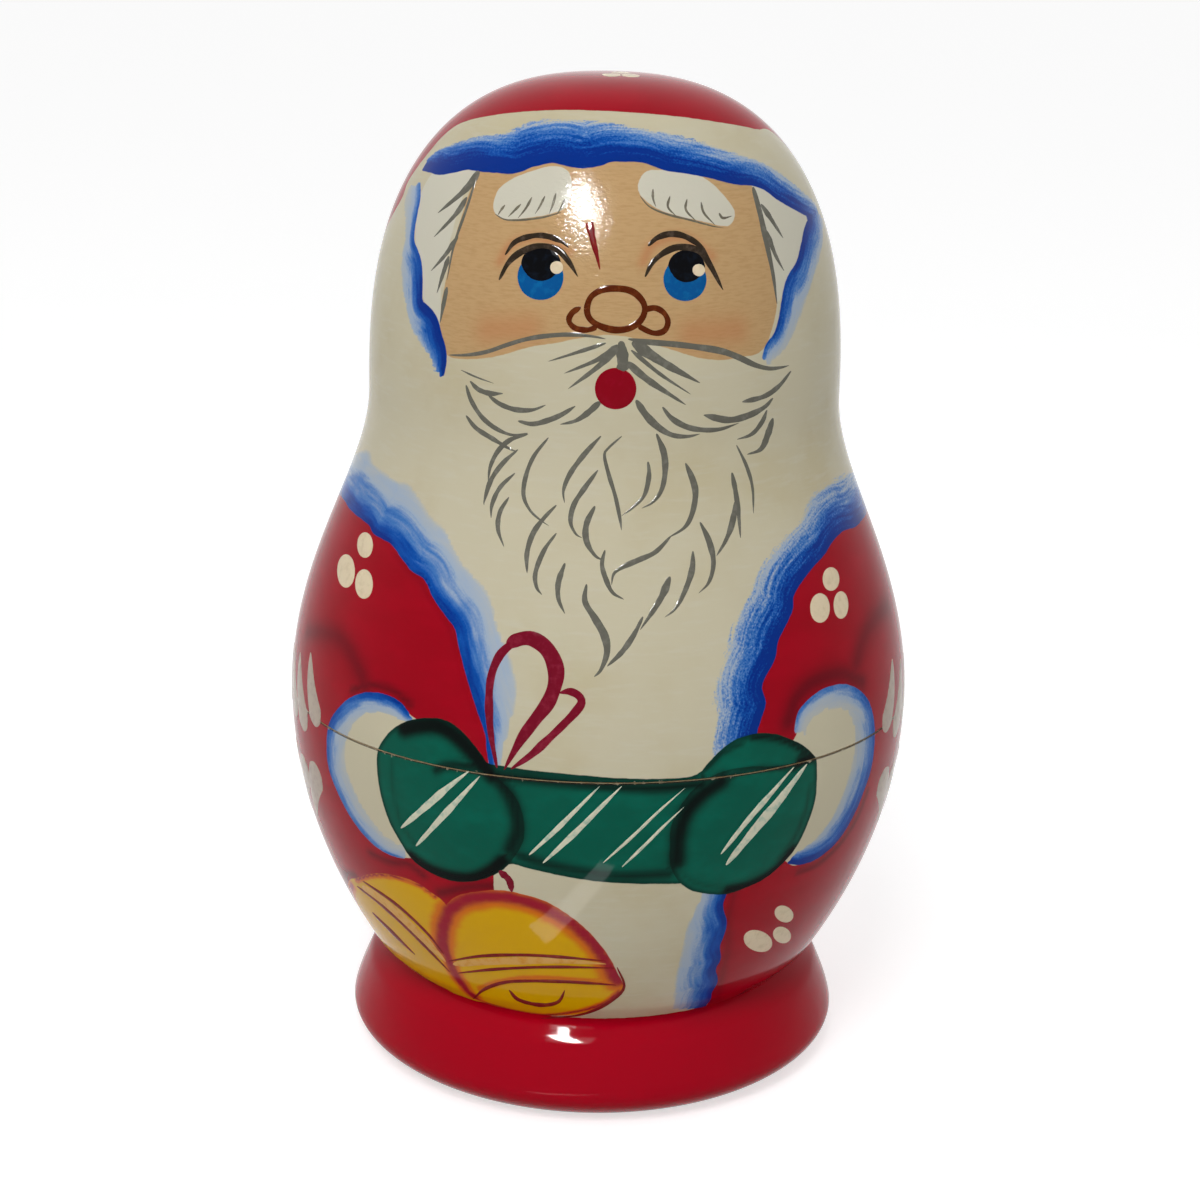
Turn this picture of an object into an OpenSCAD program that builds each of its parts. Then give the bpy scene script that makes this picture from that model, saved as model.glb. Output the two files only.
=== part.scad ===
// Nesting doll: a set of five turned lime wood dolls. Each doll but the smallest opens at the belly, where a
// thin spigot on its lower half slides into a socket in its upper half. All five share one outline, and each
// inner doll is turned as large as the doll around it allows.

/* [Outline of the largest doll] */
// Height of the doll
doll_h = 110; // [100:1:120]
// Radius of the flat under the foot
base_r = 24.7; // [22:0.1:27]
// Largest radius of the foot
foot_r = 28.2; // [27:0.1:31]
// Height of the widest place of the foot
foot_h = 3.5; // [2.5:0.1:5]
// Radius at both edges of the crease above the foot
crease_edge_r = 26.1; // [24:0.1:28]
// Height of the bottom of the crease
crease_h = 11.1; // [9:0.1:13]
// Width of the crease
crease_w = 4; // [2:0.1:5]
// Depth of the crease
crease_depth = 2; // [0.5:0.1:3]
// Largest radius of the belly
belly_r = 34.85; // [31:0.05:39]
// Height of the widest place of the belly
belly_h = 41.5; // [36:0.5:46]
// Radius of the neck
neck_r = 25.9; // [23:0.1:29]
// Height of the neck, where the crown of the head starts
neck_h = 76; // [68:0.5:84]
// Power of the curve under the foot
foot_round = 2.1; // [1.5:0.1:3]
// Power of the slope from the foot to the crease
foot_slope = 1.3; // [1:0.1:2]
// Power of the curve from the crease to the belly
belly_round = 2; // [1.6:0.1:2.6]
// Power of the crown, where 2 is an ellipse
crown_round = 2.53; // [2:0.01:3]
// How far the belly holds its width upwards, as a share of the shoulder
belly_pull_share = 0.45; // [0.3:0.01:0.6]
// How far the neck holds its width downwards, as a share of the shoulder
neck_pull_share = 0.27; // [0.15:0.01:0.4]

/* [Seam of the largest doll] */
// Height of the seam between the halves
seam_h = 42.4; // [38:0.1:48]
// Height of the spigot above the seam
spigot_h = 8; // [6:0.5:11]
// Wall of the spigot
spigot_wall = 3.2; // [2.4:0.1:4]
// Wall of the upper half around the socket
rim_wall = 3.4; // [2.6:0.1:4.2]
// Bevel at the top of the spigot
spigot_lead = 0.6; // [0.2:0.1:1]
// Bevel of both edges along the seam
seam_break = 0.25; // [0.1:0.05:0.5]

/* [Inside of the largest doll] */
// Wall of the hollow
wall = 4; // [3:0.1:5]
// Thickness of the crown
crown_wall = 6; // [4:0.5:9]
// Height of the floor above the crease
floor_rise = 0.9; // [0.4:0.1:3]
// Fillet around the floor
floor_fillet = 3; // [1:0.5:5]

/* [Fits of every doll] */
// Gap between the spigot and the socket, on the radius
fit_gap = 0.06; // [0.04:0.01:0.15]
// Gap along the seam when the doll is closed
seam_gap = 0.1; // [0.05:0.05:0.3]
// Gap over the top of the spigot when the doll is closed
socket_end_gap = 0.5; // [0.2:0.1:1.5]
// Room around the doll inside, on the radius
nest_gap = 1.6; // [1:0.1:2.4]
// Gap under the doll inside
seat_gap = 0.1; // [0.05:0.05:0.3]

/* [Hidden] */

// Paint and wood as they show on the outside
red = "#9B1024";
cream = "#D6CDB2";

// Steps along the short curves, along the long curves and around
short_steps = 5;
long_steps = 12;
round_fn = 128;

// Heights that follow from the sizes of the largest doll
crease_low = crease_h - crease_w / 2;
crease_top = crease_h + crease_w / 2;
floor_h = crease_top + floor_rise;
shoulder_h = neck_h - belly_h;
spigot_top = seam_h + spigot_h;

// A curve that falls from one to zero, flat at its start
function fall(t, power) = 1 - pow(t, power);

// A height on the shoulder, a cubic curve that leaves the belly and meets the neck upright
function shoulder_z(t) =
    belly_h
    + shoulder_h * (3 * t * pow(1 - t, 2) * belly_pull_share
                    + 3 * pow(t, 2) * (1 - t) * (1 - neck_pull_share)
                    + pow(t, 3));

// A radius on the shoulder
function shoulder_r(t) = belly_r + (neck_r - belly_r) * pow(t, 2) * (3 - 2 * t);

// The crown from the neck to the top, outside or inside
function crown(r, top) =
    [for (i = [0 : long_steps])
        let (a = 90 * i / long_steps)
        [r * pow(cos(a), 2 / crown_round), neck_h + (top - neck_h) * pow(sin(a), 2 / crown_round)]];

// The outline of the largest doll from the base to the top, as points of radius and height
foot = [for (i = [0 : short_steps])
    let (t = i / short_steps)
    [base_r + (foot_r - base_r) * fall(1 - t, foot_round), foot_h * t]];
foot_rim = [for (i = [1 : short_steps])
    let (t = i / short_steps)
    [crease_edge_r + (foot_r - crease_edge_r) * fall(t, foot_slope), foot_h + (crease_low - foot_h) * t]];
crease = [[crease_edge_r - crease_depth, crease_h]];
belly = [for (i = [0 : long_steps])
    let (t = i / long_steps)
    [crease_edge_r + (belly_r - crease_edge_r) * fall(1 - t, belly_round),
     crease_top + (belly_h - crease_top) * t]];
shoulder = [for (i = [1 : long_steps - 1]) [shoulder_r(i / long_steps), shoulder_z(i / long_steps)]];
outline = concat(foot, foot_rim, crease, belly, shoulder, crown(neck_r, doll_h));

// Radius of the largest doll at a height
by_height = [for (p = outline) [p[1], p[0]]];
function r_at(z) = lookup(z, by_height);
seam_r = r_at(seam_h);
floor_r = r_at(floor_h + floor_fillet) - wall;
bore_most = seam_r - rim_wall - spigot_wall;

// Size of the doll that fits in a doll of size k: its belly passes the mouth, its crown and foot clear the hollow
function next_size(k) =
    min((k * bore_most - fit_gap - nest_gap) / belly_r,
        (k * (doll_h - crown_wall - floor_h) - seat_gap - nest_gap) / doll_h,
        (k * floor_r - nest_gap) / foot_r);

// Each doll's size beside the largest, and the height that its base stands at
function size(doll) = doll == 0 ? 1 : next_size(size(doll - 1));
function seat_h(doll) = doll == 0 ? 0 : seat_h(doll - 1) + size(doll - 1) * floor_h + seat_gap;

// Radii of a doll's fit, which keeps its clearance at every size
function socket_r(doll) = size(doll) * (seam_r - rim_wall);
function spigot_r(doll) = socket_r(doll) - fit_gap;
function mouth_r(doll) = spigot_r(doll) - size(doll) * spigot_wall;

// The hollow of a lower half from its mouth down to the floor, at the size of the largest doll
function lower_hollow(bore) =
    let (t = pow(max(0, belly_r - wall - bore) / (belly_r - crease_edge_r), 1 / belly_round))
    concat(
        [[bore, spigot_top], [bore, belly_h - (belly_h - crease_top) * t]],
        [for (i = [long_steps : -1 : 0])
            if (belly[i][0] - wall < bore && belly[i][1] > floor_h + floor_fillet) [belly[i][0] - wall, belly[i][1]]],
        [for (i = [0 : short_steps])
            let (a = 90 * i / short_steps)
            [floor_r - floor_fillet * (1 - cos(a)), floor_h + floor_fillet * (1 - sin(a))]],
        [[0, floor_h]]);

// The hollow of an upper half from its crown down to the end of the socket, at the size of the largest doll
function upper_hollow(socket_end) =
    let (dome = crown(neck_r - wall, doll_h - crown_wall))
    concat(
        [for (i = [long_steps : -1 : 0]) dome[i]],
        [for (i = [len(shoulder) - 1 : -1 : 0])
            if (shoulder[i][1] > socket_end) [shoulder[i][0] - wall, shoulder[i][1]]],
        [[r_at(socket_end) - wall, socket_end]]);

// Lower half of a doll: foot, belly up to the seam, spigot and hollow
module lower_half(doll) {
    k = size(doll);
    low_edge = seam_h - seam_break;
    translate([0, 0, seat_h(doll)])
        rotate_extrude($fn = round_fn)
            polygon(concat(
                [[0, 0]],
                [for (p = outline) if (p[1] < low_edge) k * p],
                [k * [r_at(low_edge), low_edge], k * [seam_r - seam_break, seam_h]],
                [[spigot_r(doll), k * seam_h], [spigot_r(doll), k * (spigot_top - spigot_lead)]],
                [[spigot_r(doll) - k * spigot_lead, k * spigot_top]],
                k * lower_hollow(mouth_r(doll) / k)));
}

// Upper half of a doll: belly above the seam, shoulders, head, socket and hollow
module upper_half(doll) {
    k = size(doll);
    rim_h = seam_h + seam_gap / k;
    high_edge = rim_h + seam_break;
    socket_end = spigot_top + socket_end_gap / k;
    translate([0, 0, seat_h(doll)])
        rotate_extrude($fn = round_fn)
            polygon(concat(
                [[socket_r(doll), k * rim_h], k * [seam_r - seam_break, rim_h]],
                [k * [r_at(high_edge), high_edge]],
                [for (p = outline) if (p[1] > high_edge) k * p],
                k * upper_hollow(socket_end),
                [[socket_r(doll), k * socket_end]]));
}

// A doll turned from one piece
module solid_doll(doll) {
    translate([0, 0, seat_h(doll)])
        rotate_extrude($fn = round_fn)
            polygon(concat([[0, 0]], size(doll) * outline));
}

module outer_doll_top() {
    color(cream) upper_half(0);
}

module outer_doll_bottom() {
    color(red) lower_half(0);
}

module second_doll_top() {
    color(cream) upper_half(1);
}

module second_doll_bottom() {
    color(red) lower_half(1);
}

module third_doll_top() {
    color(cream) upper_half(2);
}

module third_doll_bottom() {
    color(red) lower_half(2);
}

module fourth_doll_top() {
    color(cream) upper_half(3);
}

module fourth_doll_bottom() {
    color(red) lower_half(3);
}

module seed_doll() {
    color(red) solid_doll(4);
}

outer_doll_top();
outer_doll_bottom();
second_doll_top();
second_doll_bottom();
third_doll_top();
third_doll_bottom();
fourth_doll_top();
fourth_doll_bottom();
seed_doll();
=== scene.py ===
import logging
import math
from dataclasses import dataclass
from enum import Enum
from functools import cached_property
from typing import NamedTuple, Sequence, Union

import bmesh
import bpy
import numpy as np
from mathutils import Euler, Matrix, Vector


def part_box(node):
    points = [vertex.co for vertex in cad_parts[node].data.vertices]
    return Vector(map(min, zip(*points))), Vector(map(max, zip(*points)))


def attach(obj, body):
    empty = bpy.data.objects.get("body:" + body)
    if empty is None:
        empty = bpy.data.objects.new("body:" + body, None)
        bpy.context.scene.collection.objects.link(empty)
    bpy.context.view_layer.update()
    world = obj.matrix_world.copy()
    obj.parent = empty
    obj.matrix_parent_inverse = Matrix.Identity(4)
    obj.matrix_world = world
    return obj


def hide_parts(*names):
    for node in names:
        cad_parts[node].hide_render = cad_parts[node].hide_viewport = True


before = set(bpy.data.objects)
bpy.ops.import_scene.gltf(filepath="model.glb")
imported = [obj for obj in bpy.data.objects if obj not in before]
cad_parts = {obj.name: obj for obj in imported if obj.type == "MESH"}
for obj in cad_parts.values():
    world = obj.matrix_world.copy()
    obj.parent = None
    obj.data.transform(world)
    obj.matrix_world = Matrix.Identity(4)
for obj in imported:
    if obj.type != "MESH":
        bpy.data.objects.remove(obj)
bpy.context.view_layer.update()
log = logging.getLogger("nesting_doll")
MM = 0.001


class Around(NamedTuple):
    """A place on the largest doll, as degrees from the front to the right and millimetres up."""

    degrees: float
    height: float


class OnTop(NamedTuple):
    """A place on the crown of the largest doll, in millimetres to the right of its axis and behind it."""

    right: float
    behind: float


# A place is a pixel of the photograph, or one of the others where the photograph doesn't show it well.
Place = Union[tuple[float, float], Around, OnTop]


def linear(code: str) -> tuple[float, float, float, float]:
    """Turns an sRGB hex colour into the linear colour that shaders take.

    Args:
        code: Colour such as "#9B1024".

    Returns:
        Linear red, green, blue and an alpha of one.
    """
    parts = [int(code[i : i + 2], 16) / 255 for i in (1, 3, 5)]
    return (*[c / 12.92 if c <= 0.04045 else ((c + 0.055) / 1.055) ** 2.4 for c in parts], 1.0)


def curve_through(points: np.ndarray, steps: int = 6, closed: bool = False) -> np.ndarray:
    """Runs a smooth curve through points.

    Args:
        points: Rows of coordinates.
        steps: Pieces that each stretch between two points is cut into.
        closed: Whether the curve comes back to its first point.

    Returns:
        Rows along the curve, the first one repeated at the end of a closed curve.
    """
    if len(points) < 3:
        return points
    before, after = points[-1:], points[:2]
    if not closed:
        before, after = 2 * points[:1] - points[1:2], 2 * points[-1:] - points[-2:-1]
    p = np.vstack([before, points, after])
    t = np.linspace(0, 1, steps, endpoint=False)[:, None]
    rows = []
    for a, b, c, d in zip(p[:-3], p[1:-2], p[2:-1], p[3:]):
        square, cube = 2 * a - 5 * b + 4 * c - d, 3 * b - a - 3 * c + d
        rows.append(0.5 * (2 * b + (c - a) * t + square * t**2 + cube * t**3))
    return np.vstack([*rows, p[-2:-1]])


@dataclass(frozen=True)
class Outline:
    """Turned outline of the largest doll and the thickness of its walls, in millimetres."""

    height: float = 110.0
    base_r: float = 24.7
    foot_r: float = 28.2
    foot_h: float = 3.5
    crease_edge_r: float = 26.1
    crease_h: float = 11.1
    crease_w: float = 4.0
    crease_depth: float = 2.0
    belly_r: float = 34.85
    belly_h: float = 41.5
    neck_r: float = 25.9
    neck_h: float = 76.0
    foot_round: float = 2.1
    foot_slope: float = 1.3
    belly_round: float = 2.0
    crown_round: float = 2.53
    belly_pull: float = 0.45
    neck_pull: float = 0.27
    seam_h: float = 42.4
    seam_break: float = 0.06
    spigot_h: float = 8.0
    spigot_wall: float = 3.2
    rim_wall: float = 3.4
    wall: float = 4.0
    crown_wall: float = 6.0
    floor_h: float = 14.0
    floor_fillet: float = 3.0
    seam_gap: float = 0.1
    fit_gap: float = 0.06
    spigot_room: float = 0.5
    spigot_lead: float = 0.6
    bore_step: float = 0.3
    # Points along each curve and along the crown, and how many of them make one step inside
    curve_points: int = 120
    crown_points: int = 90
    inside_skip: int = 8
    dome_skip: int = 4

    def crown(self, radius: float, top: float) -> np.ndarray:
        """Curve of the head from the neck to the top, outside or inside.

        Args:
            radius: Radius at the neck.
            top: Height of the top.

        Returns:
            Rows of radius and height.
        """
        a = np.linspace(0, math.pi / 2, self.crown_points)
        power = 2 / self.crown_round
        rise = (top - self.neck_h) * np.sin(a) ** power
        return np.c_[radius * np.abs(np.cos(a)) ** power, self.neck_h + rise]

    def crown_height(self, radius: np.ndarray) -> np.ndarray:
        """Height of the outside at each radius of the crown."""
        up = self.crown(self.neck_r, self.height)[::-1]
        return np.interp(radius, up[:, 0], up[:, 1])

    @cached_property
    def points(self) -> np.ndarray:
        """The whole outside.

        Returns:
            Rows of radius and height from the edge of the base to the top.
        """
        t = np.linspace(0, 1, self.curve_points)
        low, high = self.crease_h - self.crease_w / 2, self.crease_h + self.crease_w / 2
        foot = np.c_[
            self.base_r + (self.foot_r - self.base_r) * (1 - (1 - t) ** self.foot_round),
            self.foot_h * t,
        ]
        rim = np.c_[
            self.crease_edge_r + (self.foot_r - self.crease_edge_r) * (1 - t**self.foot_slope),
            self.foot_h + (low - self.foot_h) * t,
        ]
        crease = np.array([[self.crease_edge_r - self.crease_depth, self.crease_h]])
        belly = np.c_[
            self.crease_edge_r + (self.belly_r - self.crease_edge_r) * (1 - (1 - t) ** self.belly_round),
            high + (self.belly_h - high) * t,
        ]
        rise = 3 * t * (1 - t) ** 2 * self.belly_pull + 3 * t**2 * (1 - t) * (1 - self.neck_pull) + t**3
        shoulder = np.c_[
            self.belly_r + (self.neck_r - self.belly_r) * t**2 * (3 - 2 * t),
            self.belly_h + (self.neck_h - self.belly_h) * rise,
        ]
        crown = self.crown(self.neck_r, self.height)
        return np.vstack([foot, rim[1:], crease, belly, shoulder[1:], crown[1:]])

    @cached_property
    def normals(self) -> np.ndarray:
        """Outward directions of the outside.

        Returns:
            Rows of radius and height, one for each row of points.
        """
        step = np.gradient(self.points, axis=0)
        out = np.c_[step[:, 1], -step[:, 0]]
        return out / np.linalg.norm(out, axis=1)[:, None]

    def radius(self, height: np.ndarray) -> np.ndarray:
        """Radius of the outside at each height."""
        return np.interp(height, self.points[:, 1], self.points[:, 0])

    def stretch(self, low: float, high: float, step: float) -> np.ndarray:
        """Part of the outline between two heights, in even steps along its length.

        Args:
            low: Height that it starts at.
            high: Height that it ends at.
            step: Length of a step.

        Returns:
            Rows of radius and height, the corners of the crease kept.
        """
        p = self.points
        inner = p[(p[:, 1] > low) & (p[:, 1] < high)]
        end_r = self.radius(high) if high < self.height else 0.0
        p = np.vstack([[self.radius(low), low], inner, [end_r, high]])
        run = np.r_[0, np.cumsum(np.linalg.norm(np.diff(p, axis=0), axis=1))]
        keep = [run[i] for i in range(len(p)) if abs(p[i, 1] - self.crease_h) < 1e-6]
        at = np.unique(np.r_[np.linspace(0, run[-1], max(2, round(run[-1] / step) + 1)), keep])
        return np.c_[np.interp(at, run, p[:, 0]), np.interp(at, run, p[:, 1])]

    def stand(self, spots: np.ndarray, lift: Union[float, np.ndarray] = 0.0) -> np.ndarray:
        """Points on the outside or just above it.

        Args:
            spots: Rows of angle in radians and height.
            lift: How far they stand off the surface.

        Returns:
            Rows of x, y, z in millimetres.
        """
        turn, height = spots[:, 0], spots[:, 1]
        out, up = (np.interp(height, self.points[:, 1], self.normals[:, i]) for i in (0, 1))
        r = self.radius(height) + lift * out
        return np.c_[r * np.sin(turn), -r * np.cos(turn), height + lift * up]


OUTLINE = Outline()


@dataclass(frozen=True)
class PhotoView:
    """Where the photograph was taken from, in millimetres, degrees and its own pixels."""

    distance: float = 253.93
    height: float = 126.09
    focal: float = 2330.0
    pitch: float = 16.388
    roll: float = 1.158
    width: float = 1200.0
    depth: float = 1199.0
    sensor: float = 36.0
    # Rays are searched between two shares of the distance in so many steps, then halved in on their hits
    search: tuple[float, float] = (0.6, 1.4)
    search_steps: int = 300
    halvings: int = 14
    # Radius above and below the doll, which no ray comes within
    beyond: float = -5.0

    def camera(self) -> None:
        """Puts the scene's camera where the photograph was taken from."""
        data = bpy.data.cameras.new("photo_camera")
        data.sensor_width = self.sensor
        data.lens = self.focal / self.width * self.sensor
        data.clip_start, data.clip_end = 0.01, 20.0
        camera = bpy.data.objects.new("photo_camera", data)
        place = Matrix.Translation((0, -self.distance * MM, self.height * MM))
        tilt = Matrix.Rotation(math.radians(90 - self.pitch), 4, "X")
        camera.matrix_world = place @ tilt @ Matrix.Rotation(math.radians(self.roll), 4, "Z")
        bpy.context.scene.collection.objects.link(camera)
        bpy.context.scene.camera = camera

    def on_doll(self, pixels: np.ndarray) -> np.ndarray:
        """Finds the places on the largest doll that pixels of the photograph show.

        Args:
            pixels: Rows of column and row; one past the outline takes the nearest place on it.

        Returns:
            Rows of angle in radians and height in millimetres.
        """
        pitch, roll = math.radians(self.pitch), math.radians(self.roll)
        u, v = pixels[:, 0] - self.width / 2, pixels[:, 1] - self.depth / 2
        u, v = math.cos(roll) * u + math.sin(roll) * v, -math.sin(roll) * u + math.cos(roll) * v
        ray = np.c_[
            u / self.focal,
            np.full_like(u, math.cos(pitch)) - math.sin(pitch) * v / self.focal,
            np.full_like(u, -math.sin(pitch)) - math.cos(pitch) * v / self.focal,
        ]

        def reach(far: np.ndarray) -> tuple[np.ndarray, ...]:
            """Follows each ray.

            Args:
                far: Millimetres along the rays.

            Returns:
                Distance outside the doll, and x, y, z.
            """
            x, y, z = (ray[:, i, None] * far + c for i, c in enumerate((0.0, -self.distance, self.height)))
            radius = np.where((z > 0) & (z < OUTLINE.height), OUTLINE.radius(z), self.beyond)
            return np.hypot(x, y) - radius, x, y, z

        steps = np.linspace(*self.search, self.search_steps) * self.distance
        gap = reach(steps)[0]
        at = np.where((gap < 0).any(axis=1), np.argmax(gap < 0, axis=1), np.argmin(gap, axis=1))
        near, far = steps[np.maximum(at - 1, 0)][:, None], steps[at][:, None]
        for _ in range(self.halvings):
            middle = (near + far) / 2
            hit = reach(middle)[0] < 0
            near, far = np.where(hit, near, middle), np.where(hit, middle, far)
        _, x, y, z = (c[:, 0] for c in reach(far))
        return np.c_[np.arctan2(x, -y), np.clip(z, 0.0, OUTLINE.height)]

    def trace(self, places: Sequence[Place], steps: int = 6, closed: bool = False) -> np.ndarray:
        """Runs a smooth path through places.

        Args:
            places: Pixels, or angles and heights.
            steps: Pieces between two places.
            closed: Whether the path comes back to its start.

        Returns:
            Rows of angle in radians and height in millimetres.
        """
        rows = np.array(places, float)
        around = np.array([isinstance(p, Around) for p in places])
        rows[around, 0] = np.radians(rows[around, 0])
        rows[~around] = self.on_doll(rows[~around])
        return curve_through(rows, steps, closed)


VIEW = PhotoView()


class Canvas:
    """The outside of a doll as it is painted: its vertices' places on the largest doll, by height."""

    # A wash reaches so many of its widths out, falls off over a share of one, and has this left at its end
    wash_reach: float = 1.6
    wash_fall: float = 0.6
    wash_end: float = 0.001

    def __init__(self, places: np.ndarray) -> None:
        """Sorts the vertices by height.

        Args:
            places: Rows of x, y, z in millimetres on the largest doll.
        """
        self.order = np.argsort(places[:, 2])
        self.places = places[self.order]
        self.turn = np.arctan2(self.places[:, 0], -self.places[:, 1])
        self.height = self.places[:, 2]

    def between(self, low: float, high: float) -> slice:
        """The vertices between two heights."""
        return slice(*np.searchsorted(self.height, (low, high)))

    def nearest(self, path: np.ndarray, reach: float) -> tuple[np.ndarray, np.ndarray]:
        """Measures the vertices against a path.

        Args:
            path: Rows of angle and height along the path.
            reach: Distance past which nothing is measured.

        Returns:
            Distance of each vertex from the path, and how far along the path its nearest place lies.
        """
        gap, along, run = np.full(len(self.places), reach), np.zeros(len(self.places)), 0.0
        laid = OUTLINE.stand(path)
        for a, b in zip(laid[:-1], laid[1:]):
            ab = b - a
            length = math.sqrt(ab @ ab)
            if length < 1e-6:
                continue
            near = self.between(min(a[2], b[2]) - reach, max(a[2], b[2]) + reach)
            off = self.places[near] - a
            t = np.clip(off @ ab / length**2, 0, 1)
            d = np.sqrt(((off - t[:, None] * ab) ** 2).sum(axis=1))
            closer = d < gap[near]
            gap[near] = np.where(closer, d, gap[near])
            along[near] = np.where(closer, run + t * length, along[near])
            run += length
        return gap, along

    def inside(self, loop: np.ndarray) -> np.ndarray:
        """Finds the vertices inside a loop.

        Args:
            loop: Rows of angle and height.

        Returns:
            True for each vertex inside it.
        """
        hit = np.zeros(len(self.turn), bool)
        for (t0, h0), (t1, h1) in zip(loop, np.roll(loop, -1, axis=0)):
            if h0 != h1:
                part = self.between(min(h0, h1), max(h0, h1))
                hit[part] ^= self.turn[part] < (t1 - t0) * (self.height[part] - h0) / (h1 - h0) + t0
        return hit

    def depth(self, edge: np.ndarray, closing: np.ndarray, reach: float = 2.0) -> np.ndarray:
        """Measures how deep each vertex lies inside a painted area.

        Args:
            edge: Rows of angle and height along the edge that shows.
            closing: Rows that close the area where no edge shows.
            reach: Distance past which nothing is measured.

        Returns:
            Millimetres from the edge, positive inside.
        """
        gap = self.nearest(edge, reach)[0]
        return np.where(self.inside(np.vstack([edge, closing])), gap, -gap)

    def glow(self, washes: Sequence["Wash"]) -> np.ndarray:
        """Measures how strongly soft glazes cover the vertices.

        Args:
            washes: The glazes.

        Returns:
            Cover of each vertex, from 0 to 1.
        """
        cover = np.zeros(len(self.places))
        for wash in washes:
            gap = self.nearest(VIEW.trace(wash.places), self.wash_reach * wash.width)[0]
            fall = np.exp(-((gap / (self.wash_fall * wash.width)) ** 2))
            cover = np.maximum(cover, wash.strength * (fall - self.wash_end))
        return cover


class Paint(Enum):
    """Paints that the brush strokes are made with: sRGB colour, and colour of their thin places."""

    GREY = ("#6A685E", "#7C7A70")
    LASH = ("#33291F", "#54463A")
    BLACK = ("#05060A", "#0B1420")
    IRIS = ("#035596", "#0A69A8")
    WHITE = ("#EAD8B8", "#DECBA8")
    MOUTH = ("#900018", "#980420")
    RIBBON = ("#7C0C26", "#8E2238")
    BROWN = ("#5A2208", "#7A3A16")
    GLAZE = ("#7E1A1C", "#8E3018")
    GLEAM = ("#D8D8C0", "#A8C0AC")
    HATCH = ("#6E6858", "#8C8570")
    PEACH = ("#E2AE5C", "#DB9838")
    FADED = ("#C2B2A2", "#B29C90")


@dataclass(frozen=True)
class Stroke:
    """One brush stroke: its paint, width, places, how long its ends run out, its layer, and if it is a ring.

    The width is in pixels of the photograph, or in millimetres where the places are.
    """

    paint: Paint
    width: float
    places: Sequence[Place]
    taper: tuple[float, float] = (0.25, 0.6)
    layer: int = 0
    closed: bool = False


@dataclass(frozen=True)
class Blob:
    """One round dab of paint: its paint, its middle, half its width and height, its tilt, and its layer.

    The width and height are in pixels of the photograph, or in millimetres where the middle is.
    """

    paint: Paint
    place: Place
    across: float
    up: float
    tilt: float = 0.0
    layer: int = 0


@dataclass(frozen=True)
class Wash:
    """One soft glaze: its places, its width in millimetres and its strength."""

    places: Sequence[Place]
    width: float
    strength: float = 1.0


@dataclass(frozen=True)
class FurEdge:
    """A side-loaded blue stroke along fur: its crisp and soft edge, how thin its ends are, and its grit."""

    crisp: Sequence[Place]
    soft: Sequence[Place]
    dry: tuple[float, float] = (0.0, 0.0)
    grit: float = 0.2


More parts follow.
